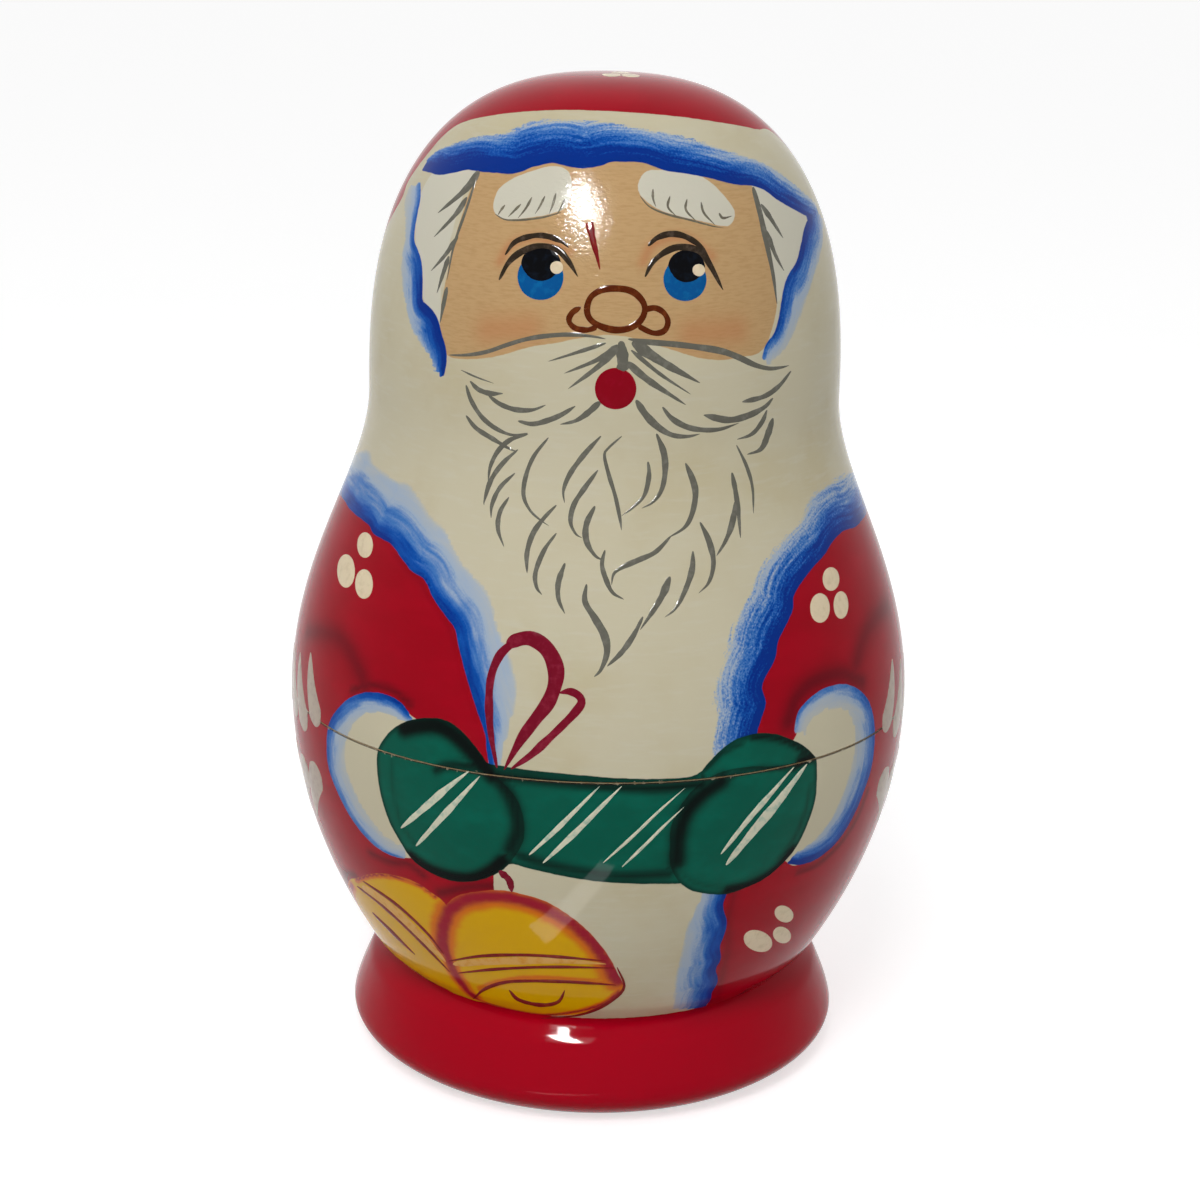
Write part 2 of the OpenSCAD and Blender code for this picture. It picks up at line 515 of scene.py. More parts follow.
class Painting:
    """The painted areas of a doll, under the brush strokes, by places in the photograph."""

    # Head: red hood with its back, fur brim, bare wood of the face, white hair and brows
    hood = [
        Around(-180, 72.5), Around(-140, 72), Around(-116, 73.5), Around(-105, 79), Around(-97, 86),
        Around(-86, 91.8), (400, 202), (408, 182), (419, 165), (430, 151), (443, 136), (459, 124),
        (483, 117), (521, 112), (568, 110), (623, 112), (673, 116), (717, 122), (755, 129), (779, 138),
        Around(92, 95), Around(99, 86), Around(105, 79), Around(116, 73.5), Around(140, 72),
        Around(180, 72.5),
    ]
    hood_back = [Around(180, 130), Around(-180, 130)]
    face = [
        (479, 166), (470, 190), (461, 218), (452, 248), (447, 275), (442, 300), (440, 324), (446, 354),
        (466, 359), (486, 358), (506, 354), (530, 347), (556, 343), (580, 338), (604, 335), (628, 337),
        (652, 344), (676, 351), (700, 358), (722, 360), (742, 357), (757, 354), (766, 345), (773, 325),
        (777, 303), (774, 274), (768, 246), (761, 214), (753, 186), (740, 170), (690, 158), (630, 150),
        (560, 150), (510, 155),
    ]
    hair = [
        [(479, 166), (466, 189), (457, 215), (448, 250), (441, 290), (440, 321), (430, 318), (424, 300),
         (418, 275), (416, 245), (417, 214), (424, 186), (440, 168)],
        [(740, 175), (753, 188), (762, 214), (768, 245), (774, 274), (778, 303), (786, 284), (796, 262),
         (803, 240), (808, 216), (790, 203), (770, 190)],
        [(494, 201), (499, 189), (512, 179), (529, 172), (552, 166), (568, 171), (572, 188), (566, 207),
         (553, 213), (541, 216), (518, 219), (501, 218), (494, 211)],
        [(638, 185), (644, 173), (656, 170), (690, 172), (710, 182), (727, 199), (735, 213), (731, 224),
         (722, 226), (701, 221), (678, 216), (656, 208), (641, 196)],
    ]
    # Coat: everything outside the cream front and below the collar, by the edges that its fur shares
    left_edge = [
        Around(-180, 62), Around(-160, 61.2), Around(-140, 62.4), Around(-120, 61.4), Around(-104, 62.6),
        (342, 496), (351, 509), (368, 523), (374, 533), (391, 543), (401, 556), (412, 570), (425, 579),
        (433, 596), (446, 615), (456, 629), (460, 648),
    ]
    lower_edge = [
        (709, 1001), (711, 993), (717, 982), (715, 970), (720, 959), (719, 947), (723, 936), (726, 922),
        (722, 907), (725, 896),
    ]
    right_edge = [
        (748, 780), (756, 735), (760, 720), (765, 703), (761, 686), (769, 669), (775, 657), (777, 642),
        (784, 627), (792, 610), (793, 596), (800, 583), (813, 566), (824, 554), (832, 541), (843, 530),
        (855, 526), (864, 516), Around(104, 62.6), Around(120, 61.4), Around(140, 62.4), Around(160, 61.2),
        Around(180, 62),
    ]
    front = [
        *left_edge, (467, 667), (475, 686), (481, 707), (484, 728), (487, 745), (491, 790), (493, 840),
        (494, 890), (497, 950), (500, 1000), (504, 1030), Around(-15, 9.6), Around(0, 9.6),
        Around(14, 9.6), (707, 1018), *lower_edge, (735, 840), *right_edge,
    ]
    front_back = [Around(180, 130), Around(-180, 130)]
    left_cuff = [
        (409, 714), (400, 703), (387, 696), (368, 693), (350, 699), (337, 711), (329, 725), (327, 746),
        (329, 768), (337, 790), (348, 812), (361, 831), (376, 846), (392, 855), (405, 858),
    ]
    right_cuff = [
        (808, 701), (823, 690), (842, 685), (858, 690), (869, 703), (874, 724), (874, 746), (871, 768),
        (864, 790), (853, 816), (838, 840), (819, 857), (801, 864), (788, 863),
    ]
    cuffs = [
        [*left_cuff, (440, 850), (450, 800), (440, 740)],
        [(795, 738), (797, 718), *right_cuff, (760, 830), (765, 770)],
    ]
    # Hands and the green wrap that they hold
    wrap = [
        (470, 761), (490, 764), (512, 767.5), (542, 771.5), (579, 775), (616, 778), (653, 779), (690, 777),
        (720, 771), (720, 870), (690, 882), (653, 884), (616, 883), (586, 880), (557, 875), (527, 868),
        (512, 864), (494, 866), (470, 860),
    ]
    left_mitten = [
        (377, 755), (383, 740), (394, 728), (411, 720), (435, 718), (453, 724), (470, 740), (483, 757),
        (492, 772), (505, 785), (518, 801), (524, 822), (523, 842), (512, 860), (498, 873), (475, 881),
        (453, 881), (431, 873), (412, 859), (398, 838), (387, 816), (379, 786),
    ]
    right_thumb = [
        (701, 777), (712, 759), (731, 742), (753, 734), (775, 734), (797, 742), (812, 753), (817, 764),
        (810, 790), (770, 800), (720, 800),
    ]
    right_mitten = [
        (670, 846), (671, 827), (681, 805), (697, 786), (719, 773), (745, 767), (775, 766), (801, 762),
        (815, 761), (817, 779), (815, 801), (808, 823), (797, 846), (782, 864), (764, 879), (745, 888),
        (727, 894), (708, 894), (690, 890), (677, 879), (670, 864),
    ]
    green_shade = [
        Wash([(404, 729), (420, 726), (437, 726), (454, 735), (470, 750), (484, 767), (492, 776)], 2.0),
        Wash([(436, 770), (446, 766), (462, 766), (480, 769), (492, 773)], 1.3, 0.75),
        Wash([(497, 779), (510, 797), (516, 815), (517, 832), (510, 850)], 1.9, 0.8),
        Wash([(411, 856), (428, 868), (450, 876), (472, 878), (490, 871), (503, 860)], 1.6),
        Wash([(392, 760), (393, 790), (401, 822), (416, 846)], 0.9, 0.4),
        Wash([(500, 775), (540, 780), (580, 784), (620, 787), (660, 788), (700, 784)], 1.4, 0.8),
        Wash([(520, 856), (545, 864), (580, 871), (620, 876), (668, 874)], 1.6, 0.7),
        Wash([(722, 781), (702, 795), (687, 812), (679, 835), (677, 862)], 2.1, 0.9),
        Wash([(722, 779), (745, 771), (772, 768), (796, 769)], 0.8, 0.7),
        Wash([(752, 737), (775, 738), (795, 745), (810, 756)], 1.0, 0.8),
        Wash([(708, 768), (722, 754), (742, 743)], 0.8, 0.6),
        Wash([(799, 762), (812, 757)], 1.2),
        Wash([(811, 785), (805, 812), (793, 840), (777, 860)], 0.9, 0.5),
        Wash([(728, 890), (752, 884), (775, 870), (792, 850)], 1.5, 0.95),
        Wash([(676, 868), (690, 880), (708, 886), (726, 887)], 0.8, 0.4),
    ]
    # Bells, the front one over the back one
    front_bell = [
        (441, 924), (444, 909), (455, 897), (474, 892), (499, 890), (522, 894), (547, 902), (570, 916),
        (591, 934), (608, 955), (617, 972), (623, 989), (604, 1004), (579, 1014), (541, 1017), (508, 1011),
        (485, 1003), (472, 999), (457, 982), (445, 959), (440, 939),
    ]
    back_bell = [
        (357, 878), (370, 874), (388, 874), (413, 881), (432, 893), (447, 906), (470, 940), (480, 999),
        (447, 993), (416, 974), Around(-62, 9.4), Around(-70, 11.6), Around(-71.5, 15.8),
        Around(-67.5, 19.8), Around(-61, 22.8),
    ]
    bell_glaze = [
        Wash([(442, 950), (444, 925), (453, 907), (474, 898), (505, 897), (547, 909), (590, 939),
              (618, 982)], 2.3),
        Wash([(620, 991), (600, 1005), (545, 1015), (500, 1007), (474, 998)], 0.7),
        Wash([(474, 995), (456, 978), (446, 955)], 1.3),
        Wash([(480, 989), (505, 981), (535, 978), (575, 980), (616, 984)], 0.8, 0.6),
        Wash([(450, 906), (444, 930), (450, 962), (474, 997)], 1.5),
        Wash([(446, 992), (416, 974), Around(-62, 9.8), Around(-69.3, 12), Around(-70.8, 15.8),
              Around(-66.9, 19.4), Around(-60.4, 22.4)], 1.3),
        Wash([(356, 880), (372, 875), (392, 876), (416, 883), (436, 897)], 0.6),
    ]
    # Dark glazes in the folds of the sleeves and around the cuffs
    folds = [
        Wash([(308, 631), (322, 632), (338, 637), (350, 651), (359, 669), (364, 684)], 2.2, 0.8),
        Wash([(888, 606), (880, 612), (870, 625), (861, 645), (856, 664)], 2.4, 0.8),
        Wash([(788, 722), (798, 696), (818, 680), (842, 674), (862, 682)], 1.9),
        Wash([(352, 690), (372, 685), (392, 690), (410, 704)], 0.8),
        Wash([(370, 853), (390, 862), (408, 864), (424, 876)], 0.9),
        Wash([(868, 790), (855, 822), (838, 846), (818, 864), (798, 872)], 0.7),
        Wash([(733, 895), (728, 920), (728, 945), (722, 975), (714, 1000)], 0.9, 0.6),
        Wash([(398, 553), (418, 577), (440, 606), (458, 640), (470, 672), (482, 712)], 0.9, 0.4),
        Wash([(440, 893), (470, 887), (505, 886), (540, 892)], 1.1),
        Wash([(356, 876), Around(-62, 23.4), Around(-69, 20.4), Around(-73, 16), Around(-72, 11.8)], 0.9),
    ]
    # Warm pink on the lids, at the sides of the nose and on the cheeks
    blush = [
        Wash([(500, 262), (512, 244), (540, 238), (568, 252)], 0.9),
        Wash([(643, 262), (654, 244), (684, 238), (712, 256)], 0.9),
        Wash([(488, 330), (528, 328)], 2.6, 0.8),
        Wash([(692, 334), (736, 330)], 2.6, 0.8),
    ]
    # Blue strokes along the fur, none wider than this many millimetres
    fur_width: float = 9.0
    fur = [
        FurEdge(
            [(423, 170), (430, 171.5), (439, 174), (454, 172), (468, 169), (482, 171), (497, 172),
             (510, 173), (521, 171), (530, 167), (538, 165), (546, 163), (553, 162), (562, 164), (575, 167),
             (588, 167), (600, 165), (612, 161), (629, 161), (644, 162), (655, 166), (667, 170), (688, 173),
             (709, 177), (732, 183), (752, 185), (764, 189), (776, 198), (791, 207), (806, 215), (818, 220)],
            [(428, 158), (438, 149), (456, 141), (480, 134), (503, 131), (524, 122), (544, 118), (585, 117),
             (615, 121), (644, 127), (673, 132), (703, 140), (732, 150), (761, 160), (782, 172), (799, 186),
             (817, 205)],
            (-0.36, -0.08), 0.75,
        ),
        FurEdge(
            [(420, 184), (420, 198), (417, 214), (414, 232), (414, 242), (418, 252), (421, 263), (422, 277),
             (422, 290), (422, 301), (426, 305), (432, 311), (438, 322), (441, 335), (445, 347), (446, 362),
             (443, 376)],
            [(408, 187), (403, 206), (404, 222), (404, 240), (401, 256), (400, 275), (402, 295), (406, 314),
             (411, 332), (420, 347), (431, 363), (440, 377)],
            (0.4, -0.35), 0.25,
        ),
        FurEdge(
            [(809, 218), (805, 228), (802, 242), (797, 262), (788, 277), (783, 295), (780, 315), (775, 333),
             (766, 346), (763, 358)],
            [(828, 212), (824, 236), (819, 265), (813, 283), (807, 303), (799, 324), (790, 344), (779, 358),
             (768, 364)],
            (-0.1, 0.24), 0.5,
        ),
        FurEdge(
            [*left_edge, (484, 728), (487, 745), (490, 768)],
            [Around(-180, 66.5), Around(-150, 66.8), Around(-120, 66.2), Around(-100, 66.5), (368, 446),
             (374, 459), (389, 472), (397, 477), (410, 480), (420, 493), (433, 512), (448, 528), (456, 545),
             (465, 560), (477, 575), (488, 587), (496, 606), (500, 623), (507, 640), (515, 659), (520, 682),
             (519, 703), (513, 724), (507, 745), (500, 768)],
            (0.02, 0.1), 0.2,
        ),
        FurEdge(
            right_edge,
            [(708, 780), (710, 756), (711, 735), (713, 718), (711, 699), (713, 682), (721, 663), (725, 642),
             (731, 623), (739, 606), (748, 591), (754, 575), (767, 554), (784, 535), (798, 520), (807, 499),
             (819, 484), (843, 470), Around(100, 66.5), Around(120, 66.2), Around(150, 66.8),
             Around(180, 66.5)],
            (-0.16, 0.0), 1.0,
        ),
        FurEdge(
            [(732, 870), *lower_edge[::-1], (707, 1011)],
            [(706, 870), (698, 897), (690, 916), (682, 932), (680, 947), (676, 962), (673, 978), (671, 993),
             (669, 1010)],
            (0.05, 0.0), 0.25,
        ),
        FurEdge(
            left_cuff,
            [(413, 726), (400, 722), (388, 716), (370, 715), (358, 722), (350, 736), (346, 755), (350, 775),
             (360, 798), (372, 818), (388, 836), (404, 846)],
            (0.05, 0.45), 0.2,
        ),
        FurEdge(
            [(795, 732), (798, 714), *right_cuff],
            [(806, 734), (812, 722), (824, 713), (840, 711), (850, 720), (853, 740), (850, 765), (842, 792),
             (830, 818), (815, 838), (798, 850)],
            (0.5, -0.15), 0.3,
        ),
    ]

    def areas(self, canvas: Canvas) -> dict[str, np.ndarray]:
        """Measures every painted area on a canvas.

        Args:
            canvas: Outside of the doll that is painted.

        Returns:
            Depth inside each area in millimetres, by the name of the layer.
        """
        shapes = {
            "skin": [self.face], "hair": self.hair, "cuff": self.cuffs, "wrap": [self.wrap],
            "left_mitten": [self.left_mitten], "right_thumb": [self.right_thumb],
            "right_mitten": [self.right_mitten], "front_bell": [self.front_bell],
            "back_bell": [self.back_bell],
        }
        none = np.zeros((0, 2))
        made = {
            name: np.max([canvas.depth(VIEW.trace(loop, closed=True), none) for loop in loops], axis=0)
            for name, loops in shapes.items()
        }
        hood = canvas.depth(VIEW.trace(self.hood), VIEW.trace(self.hood_back))
        coat = -canvas.depth(VIEW.trace(self.front), VIEW.trace(self.front_back))
        foot = OUTLINE.crease_h - canvas.height
        made["red"] = np.maximum(np.maximum(hood, coat), foot)
        return made

    def fur_strokes(self, canvas: Canvas) -> dict[str, np.ndarray]:
        """Measures the blue strokes along the fur.

        Args:
            canvas: Outside of the doll that is painted.

        Returns:
            Depth inside the strokes, place from the crisp edge (0) to the soft one (1), millimetres from the
            crisp edge and along it, how thin the paint is and how gritty.
        """
        count = len(canvas.places)
        bare = {
            "fur": -1.9, "fur_across": 2.0, "fur_from": 0.0, "fur_along": 0.0, "fur_thin": 0.0,
            "fur_grit": 0.0,
        }
        made = {name: np.full(count, value) for name, value in bare.items()}
        for stroke in self.fur:
            crisp, soft = VIEW.trace(stroke.crisp), VIEW.trace(stroke.soft)
            depth = canvas.depth(crisp, soft[::-1])
            close = depth > made["fur"]
            gap, along = canvas.nearest(crisp, self.fur_width)
            other = canvas.nearest(soft, self.fur_width)[0]
            end = along / np.linalg.norm(np.diff(OUTLINE.stand(crisp), axis=0), axis=1).sum()
            first, last = stroke.dry
            values = {
                "fur": depth, "fur_across": gap / (gap + other + 1e-6), "fur_from": gap, "fur_along": along,
                "fur_thin": first + (last - first) * end, "fur_grit": np.full(count, stroke.grit),
            }
            for name, value in values.items():
                made[name][close] = value[close]
        return made

    def measure(self, places: np.ndarray) -> dict[str, np.ndarray]:
        """Measures all layers of paint at the vertices of a mesh.

        Args:
            places: Rows of x, y, z in millimetres on the largest doll.

        Returns:
            One value per vertex, by the name of the layer.
        """
        canvas = Canvas(places)
        layers = {
            **self.areas(canvas),
            **self.fur_strokes(canvas),
            "green_shade": canvas.glow(self.green_shade),
            "glaze": canvas.glow(self.bell_glaze),
            "fold": canvas.glow(self.folds),
            "blush": canvas.glow(self.blush),
            "seam": np.abs(canvas.height - OUTLINE.seam_h),
            "foot": OUTLINE.crease_h - canvas.height,
        }
        back = np.argsort(canvas.order)
        return {name: values[back] for name, values in layers.items()}


def strokes_of(paint: Paint, rows: Sequence[tuple]) -> list[Stroke]:
    """Strokes of one paint, from rows of what a stroke has after its paint."""
    return [Stroke(paint, *row) for row in rows]


def dabs_of(paint: Paint, rows: Sequence[tuple]) -> list[Blob]:
    """Dabs of one paint, from rows of what a dab has after its paint."""
    return [Blob(paint, *row) for row in rows]


class Brushwork:
    """The brush strokes and dabs that stand on the painted areas, as thin films of paint."""

    # Height of a film, step up to the next layer, and depth of its edges under the ground, in millimetres
    film: float = 0.035
    layer_step: float = 0.022
    sunk: float = 0.012
    # How far strokes and dabs spread, and the least share of its width that a stroke has at its ends
    load: float = 1.15
    spread: float = 1.04
    tip: float = 0.02
    # Powers that round off the start and the end of a stroke
    rounding = (0.4, 0.6)
    # Waves in a stroke's edges: share of its width, radians along it, and radians of shift by its number
    waves = [(0.07, 14.0, 1.0), (0.05, 31.0, 2.1)]
    # Faces across a stroke, as many along it for each of its places and one more, and along a side of a dab
    stroke_faces: int = 6
    dab_faces: int = 14
    # Radius that places around the doll are laid out flat with
    girth: float = 32.0

    eyes = [
        Blob(Paint.IRIS, (540.5, 277), 23.5, 23.5),
        Blob(Paint.BLACK, (541, 265), 20, 19, layer=1),
        Blob(Paint.WHITE, (556, 267.5), 7, 7, layer=2),
        Stroke(Paint.LASH, 6.2, [(499, 280), (509, 262), (523, 251), (541, 246), (558, 250), (569, 262),
                                 (578, 277)],
               (0.3, 0.25), 1),
        Stroke(Paint.LASH, 5.6, [(505, 255), (515, 242), (532, 236), (546, 236), (561, 241), (569, 248)],
               (0.35, 0.2)),
        Blob(Paint.IRIS, (685, 279.5), 22, 22),
        Blob(Paint.BLACK, (686.5, 267.5), 18.5, 17.5, layer=1),
        Blob(Paint.WHITE, (698, 270), 7, 7, layer=2),
        Stroke(Paint.LASH, 6.2, [(645, 277), (653, 262), (667, 251), (681, 247), (699, 251), (710, 265),
                                 (723, 290)],
               (0.3, 0.3), 1),
        Stroke(Paint.LASH, 6.0, [(648, 246), (657, 238), (670, 234), (684, 236), (699, 245), (710, 259)],
               (0.2, 0.35)),
    ]
    nose = [
        Stroke(Paint.BROWN, 6.2, [(587, 309), (591, 297), (602, 290), (616, 288.5), (631, 291), (641, 299),
                                  (645, 309), (641, 320), (630, 328), (615, 330), (600, 326), (590, 319)],
               (0.01, 0.01), 1, True),
        Stroke(Paint.BROWN, 5.6, [(581, 307), (572, 313), (569, 321), (575, 328), (587, 330), (597, 327)],
               (0.1, 0.03)),
        Stroke(Paint.BROWN, 5.6, [(643, 310), (655, 308), (664, 313), (668, 322), (664, 331), (653, 333),
                                  (638, 326)],
               (0.03, 0.03)),
        Stroke(Paint.GLAZE, 8.0, [(589, 222), (593, 240), (597, 256), (600, 270)], (0.02, 0.98)),
        Blob(Paint.MOUTH, (615.6, 388.6), 20.6, 20.6, layer=2),
    ]
    brows = strokes_of(Paint.HATCH, [
        (2.2, [(505, 205), (501, 210), (498, 215)]),
        (2.4, [(521, 204), (514, 211), (508, 217)]),
        (2.4, [(532, 197), (526, 208), (518, 218)]),
        (2.2, [(545, 196), (540, 206), (535, 214)]),
        (2.4, [(556, 193), (553, 204), (549, 214)]),
        (2.2, [(565, 199), (561, 208), (556, 215)]),
        (2.0, [(495, 214), (505, 219.5), (520, 220), (542, 217.5), (562, 212)], (0.3, 0.3)),
        (2.4, [(653, 189), (653, 198), (656, 207)]),
        (2.4, [(670, 196), (668, 207), (676, 216)]),
        (2.4, [(687, 199), (686, 210), (696, 221)]),
        (2.4, [(701, 202), (704, 213), (715, 225)]),
        (2.6, [(719, 213), (723, 218), (732, 216)]),
        (2.0, [(640, 196), (650, 207), (668, 214.5), (690, 220), (712, 226), (724, 228)], (0.3, 0.3)),
    ])
    hair = strokes_of(Paint.GREY, [
        (7.0, [(479, 171), (466, 189), (438, 213)], (0.1, 0.85)),
        (5.0, [(467, 197), (456, 214), (434, 237)], (0.15, 0.8)),
        (4.6, [(458, 236), (446, 254), (431, 271)], (0.2, 0.7)),
        (4.4, [(449, 256), (442, 277), (437, 293)], (0.2, 0.7)),
        (4.2, [(447, 287), (443, 307), (440, 323)], (0.2, 0.6)),
        (2.6, [(477, 176), (466, 210), (454, 245), (447, 280)], (0.2, 0.4)),
        (5.0, [(753, 187), (760, 213), (767, 245), (773, 274), (777, 304)], (0.08, 0.5)),
        (4.6, [(761, 204), (773, 222), (783, 238)], (0.2, 0.7)),
        (4.6, [(766, 230), (775, 254), (784, 271)], (0.2, 0.7)),
    ])
    moustache = strokes_of(Paint.GREY, [
        (4.4, [(449, 355), (466, 355), (486, 352), (508, 344.5), (527, 339), (546, 336), (568, 334.5),
               (590, 336), (606, 339)], (0.3, 0.2)),
        (6.2, [(628, 339), (648, 342), (672, 344), (697, 347), (721, 351), (738, 357), (755, 365),
               (769, 368.5), (781, 367.5), (789, 365.5)], (0.2, 0.25)),
        (11.0, [(621, 341), (622.5, 356), (622.5, 372)], (0.35, 0.1)),
        (4.4, [(606, 343), (580, 351.5), (548, 361.5)], (0.2, 0.8)),
        (6.0, [(618, 345), (599, 359), (564, 373.5)], (0.1, 0.9)),
        (7.0, [(618, 348), (597, 367.5), (568, 389)], (0.1, 0.9)),
        (11.0, [(632, 342), (662, 362), (700, 383)], (0.15, 0.85)),
        (4.6, [(631, 350), (660, 374), (691, 394.5)], (0.2, 0.8)),
        (8.0, [(627, 362), (648, 380), (686, 405)], (0.15, 0.85)),
        (6.5, [(600, 402), (587, 413.5), (575, 421), (560, 424.5)], (0.1, 0.8)),
        (7.0, [(636, 400), (646, 415), (658, 427), (672, 435), (687, 436.5), (700, 434)], (0.1, 0.6)),
        (1.8, [(461, 370), (476, 377), (494, 383.5)], (0.3, 0.5)),
        (5.0, [(470, 381), (478.5, 389.5), (490.5, 393.5), (503, 393.5)], (0.4, 0.3)),
        (5.0, [(488, 395), (500, 404), (515, 409.5), (532, 410), (546, 405)], (0.3, 0.4)),
        (5.2, [(518, 421), (532, 424), (546, 421), (561, 415), (575.5, 406)], (0.3, 0.25)),
        (4.8, [(791, 371), (779, 386), (764, 396.5), (742, 402)], (0.5, 0.15)),
        (6.6, [(773, 398), (764, 407.5), (747, 416), (728, 420), (703.5, 415)], (0.5, 0.15)),
        (5.6, [(662.5, 407), (672, 418.5), (687, 427), (704, 430), (721, 429), (739, 423)], (0.2, 0.5)),
        (4.4, [(767, 410), (762, 422), (752, 434), (737, 439.5)], (0.3, 0.5)),
        (6.4, [(773, 418), (768, 434), (761, 449), (747, 454.5)], (0.3, 0.6)),
    ])
    beard = strokes_of(Paint.GREY, [
        (4.4, [(466, 385), (471, 400), (481, 416), (495, 428), (512, 435), (528, 433)], (0.2, 0.4)),
        (4.6, [(466, 415.5), (476, 428), (493, 439), (510, 449), (517, 451.5)], (0.25, 0.4)),
        (4.8, [(528, 434), (510, 440), (498, 451), (490.5, 466), (488, 481)], (0.3, 0.4)),
        (4.8, [(518, 449.5), (503, 463), (491, 480), (484.5, 500), (484, 505)], (0.35, 0.3)),
        (4.4, [(515, 473), (500, 487.5), (492, 504.5), (491, 518)], (0.4, 0.35)),
        (4.8, [(509, 497), (500, 512), (498, 529), (504, 547)], (0.4, 0.5)),
        (4.4, [(548.5, 437.5), (534, 456), (526, 475.5), (523.5, 495), (529.5, 509.5), (539, 519),
               (549, 526)], (0.3, 0.5)),
        (5.2, [(556.5, 505), (544, 518), (533, 533.5), (527, 553), (527, 573)], (0.4, 0.25)),
        (4.8, [(556.5, 533), (544, 550.5), (535.5, 572.5), (536.5, 587), (542, 595)], (0.4, 0.3)),
        (5.4, [(565, 563), (558.5, 582), (558.5, 599), (565, 614)], (0.25, 0.5)),
        (5.2, [(601, 436), (585, 453.5), (570.5, 473), (563.5, 490), (564.5, 503)], (0.3, 0.4)),
        (5.2, [(598, 470), (585, 487.5), (574, 504.5), (570.5, 521.5), (575.5, 533.5), (582, 538)],
         (0.3, 0.4)),
        (6.2, [(595, 506), (586.5, 524), (586.5, 541), (595, 555.5), (604, 560.5)], (0.3, 0.5)),
        (4.8, [(605, 550), (602, 565), (607, 582), (613, 593), (624, 599.5)], (0.3, 0.4)),
        (4.0, [(622, 436), (608, 448.5), (604.5, 456), (609, 475.5), (615.5, 497), (620, 519),
               (621.5, 530.5)], (0.5, 0.2)),
        (4.8, [(648, 461.5), (649, 475.5), (644.5, 495), (633.5, 507), (621, 516.5)], (0.2, 0.7)),
        (6.2, [(656.5, 433.5), (664, 453.5), (665, 473), (661.5, 490), (653, 502), (641.5, 508.5)],
         (0.2, 0.6)),
        (6.2, [(685.5, 463), (693, 480.5), (695.5, 495), (692, 514), (684.5, 527.5), (668, 538)],
         (0.2, 0.6)),
        (5.4, [(671, 536), (655.5, 552), (638.5, 560), (624, 566.5), (614, 573.5), (611.5, 585)],
         (0.4, 0.4)),
        (5.0, [(732, 472.5), (736.5, 497), (739, 519), (740.5, 538)], (0.2, 0.5)),
        (6.0, [(736.5, 499), (732, 524), (725.5, 541), (716.5, 556)], (0.3, 0.6)),
        (3.4, [(736.5, 445), (746.5, 466), (752.5, 487.5), (753.5, 513.5)], (0.3, 0.5)),
        (5.8, [(700, 522), (709, 541), (713.5, 562.5), (709, 582), (698.5, 593.5)], (0.25, 0.6)),
        (5.8, [(693, 551), (692, 570), (684.5, 592), (675, 609), (664.5, 617.5)], (0.25, 0.6)),
        (7.4, [(670, 576.5), (663, 594), (653, 611), (640, 630)], (0.2, 0.8)),
        (7.4, [(586.5, 584), (585, 601.5), (595, 618.5), (604.5, 635.5), (607, 652.5), (601, 669.5),
               (594, 677)], (0.4, 0.35)),
        (5.4, [(643, 616.5), (633.5, 635.5), (621.5, 652.5), (607, 666.5)], (0.4, 0.3)),
    ])
    ribbon = strokes_of(Paint.RIBBON, [
        (8.0, [(497, 768), (491, 735), (489, 704), (491, 677), (500, 655), (515, 641)], (0.5, 0.02)),
        (14.5, [(507, 646), (517, 640), (531, 638.5), (545, 647), (554, 662), (556, 679), (549, 701),
                (535, 720), (522, 738), (511, 757), (504, 770)], (0.05, 0.45), 1),
        (8.0, [(511, 769), (531, 755), (549, 738.5), (564, 724), (575, 712.5), (581.5, 703), (579, 696),
               (570, 691.5), (559, 693)], (0.3, 0.1)),
        (6.4, [(499, 871), (509, 880), (512, 892)], (0.2, 0.2)),
    ])
    gleams = strokes_of(Paint.GLEAM, [
        (8.5, [(401, 828), (430, 803), (446, 789), (469, 771)], (0.6, 0.6)),
        (7.5, [(416, 846), (444, 815), (458, 800), (480, 776)], (0.6, 0.6)),
        (6.0, [(529, 855), (556, 830), (574, 812), (600, 786)], (0.6, 0.7)),
        (7.0, [(543, 863), (576, 832), (598, 810), (622, 786)], (0.6, 0.7)),
        (3.6, [(603, 863), (632, 837), (658, 812), (685, 788)], (0.5, 0.7)),
        (3.6, [(622, 867), (645, 845), (664, 826), (684, 807)], (0.5, 0.7)),
        (6.0, [(721, 854), (748, 820), (768, 797), (794, 767)], (0.6, 0.6)),
        (10.5, [(726, 865), (756, 828), (778, 802), (807, 764)], (0.7, 0.6)),
    ])
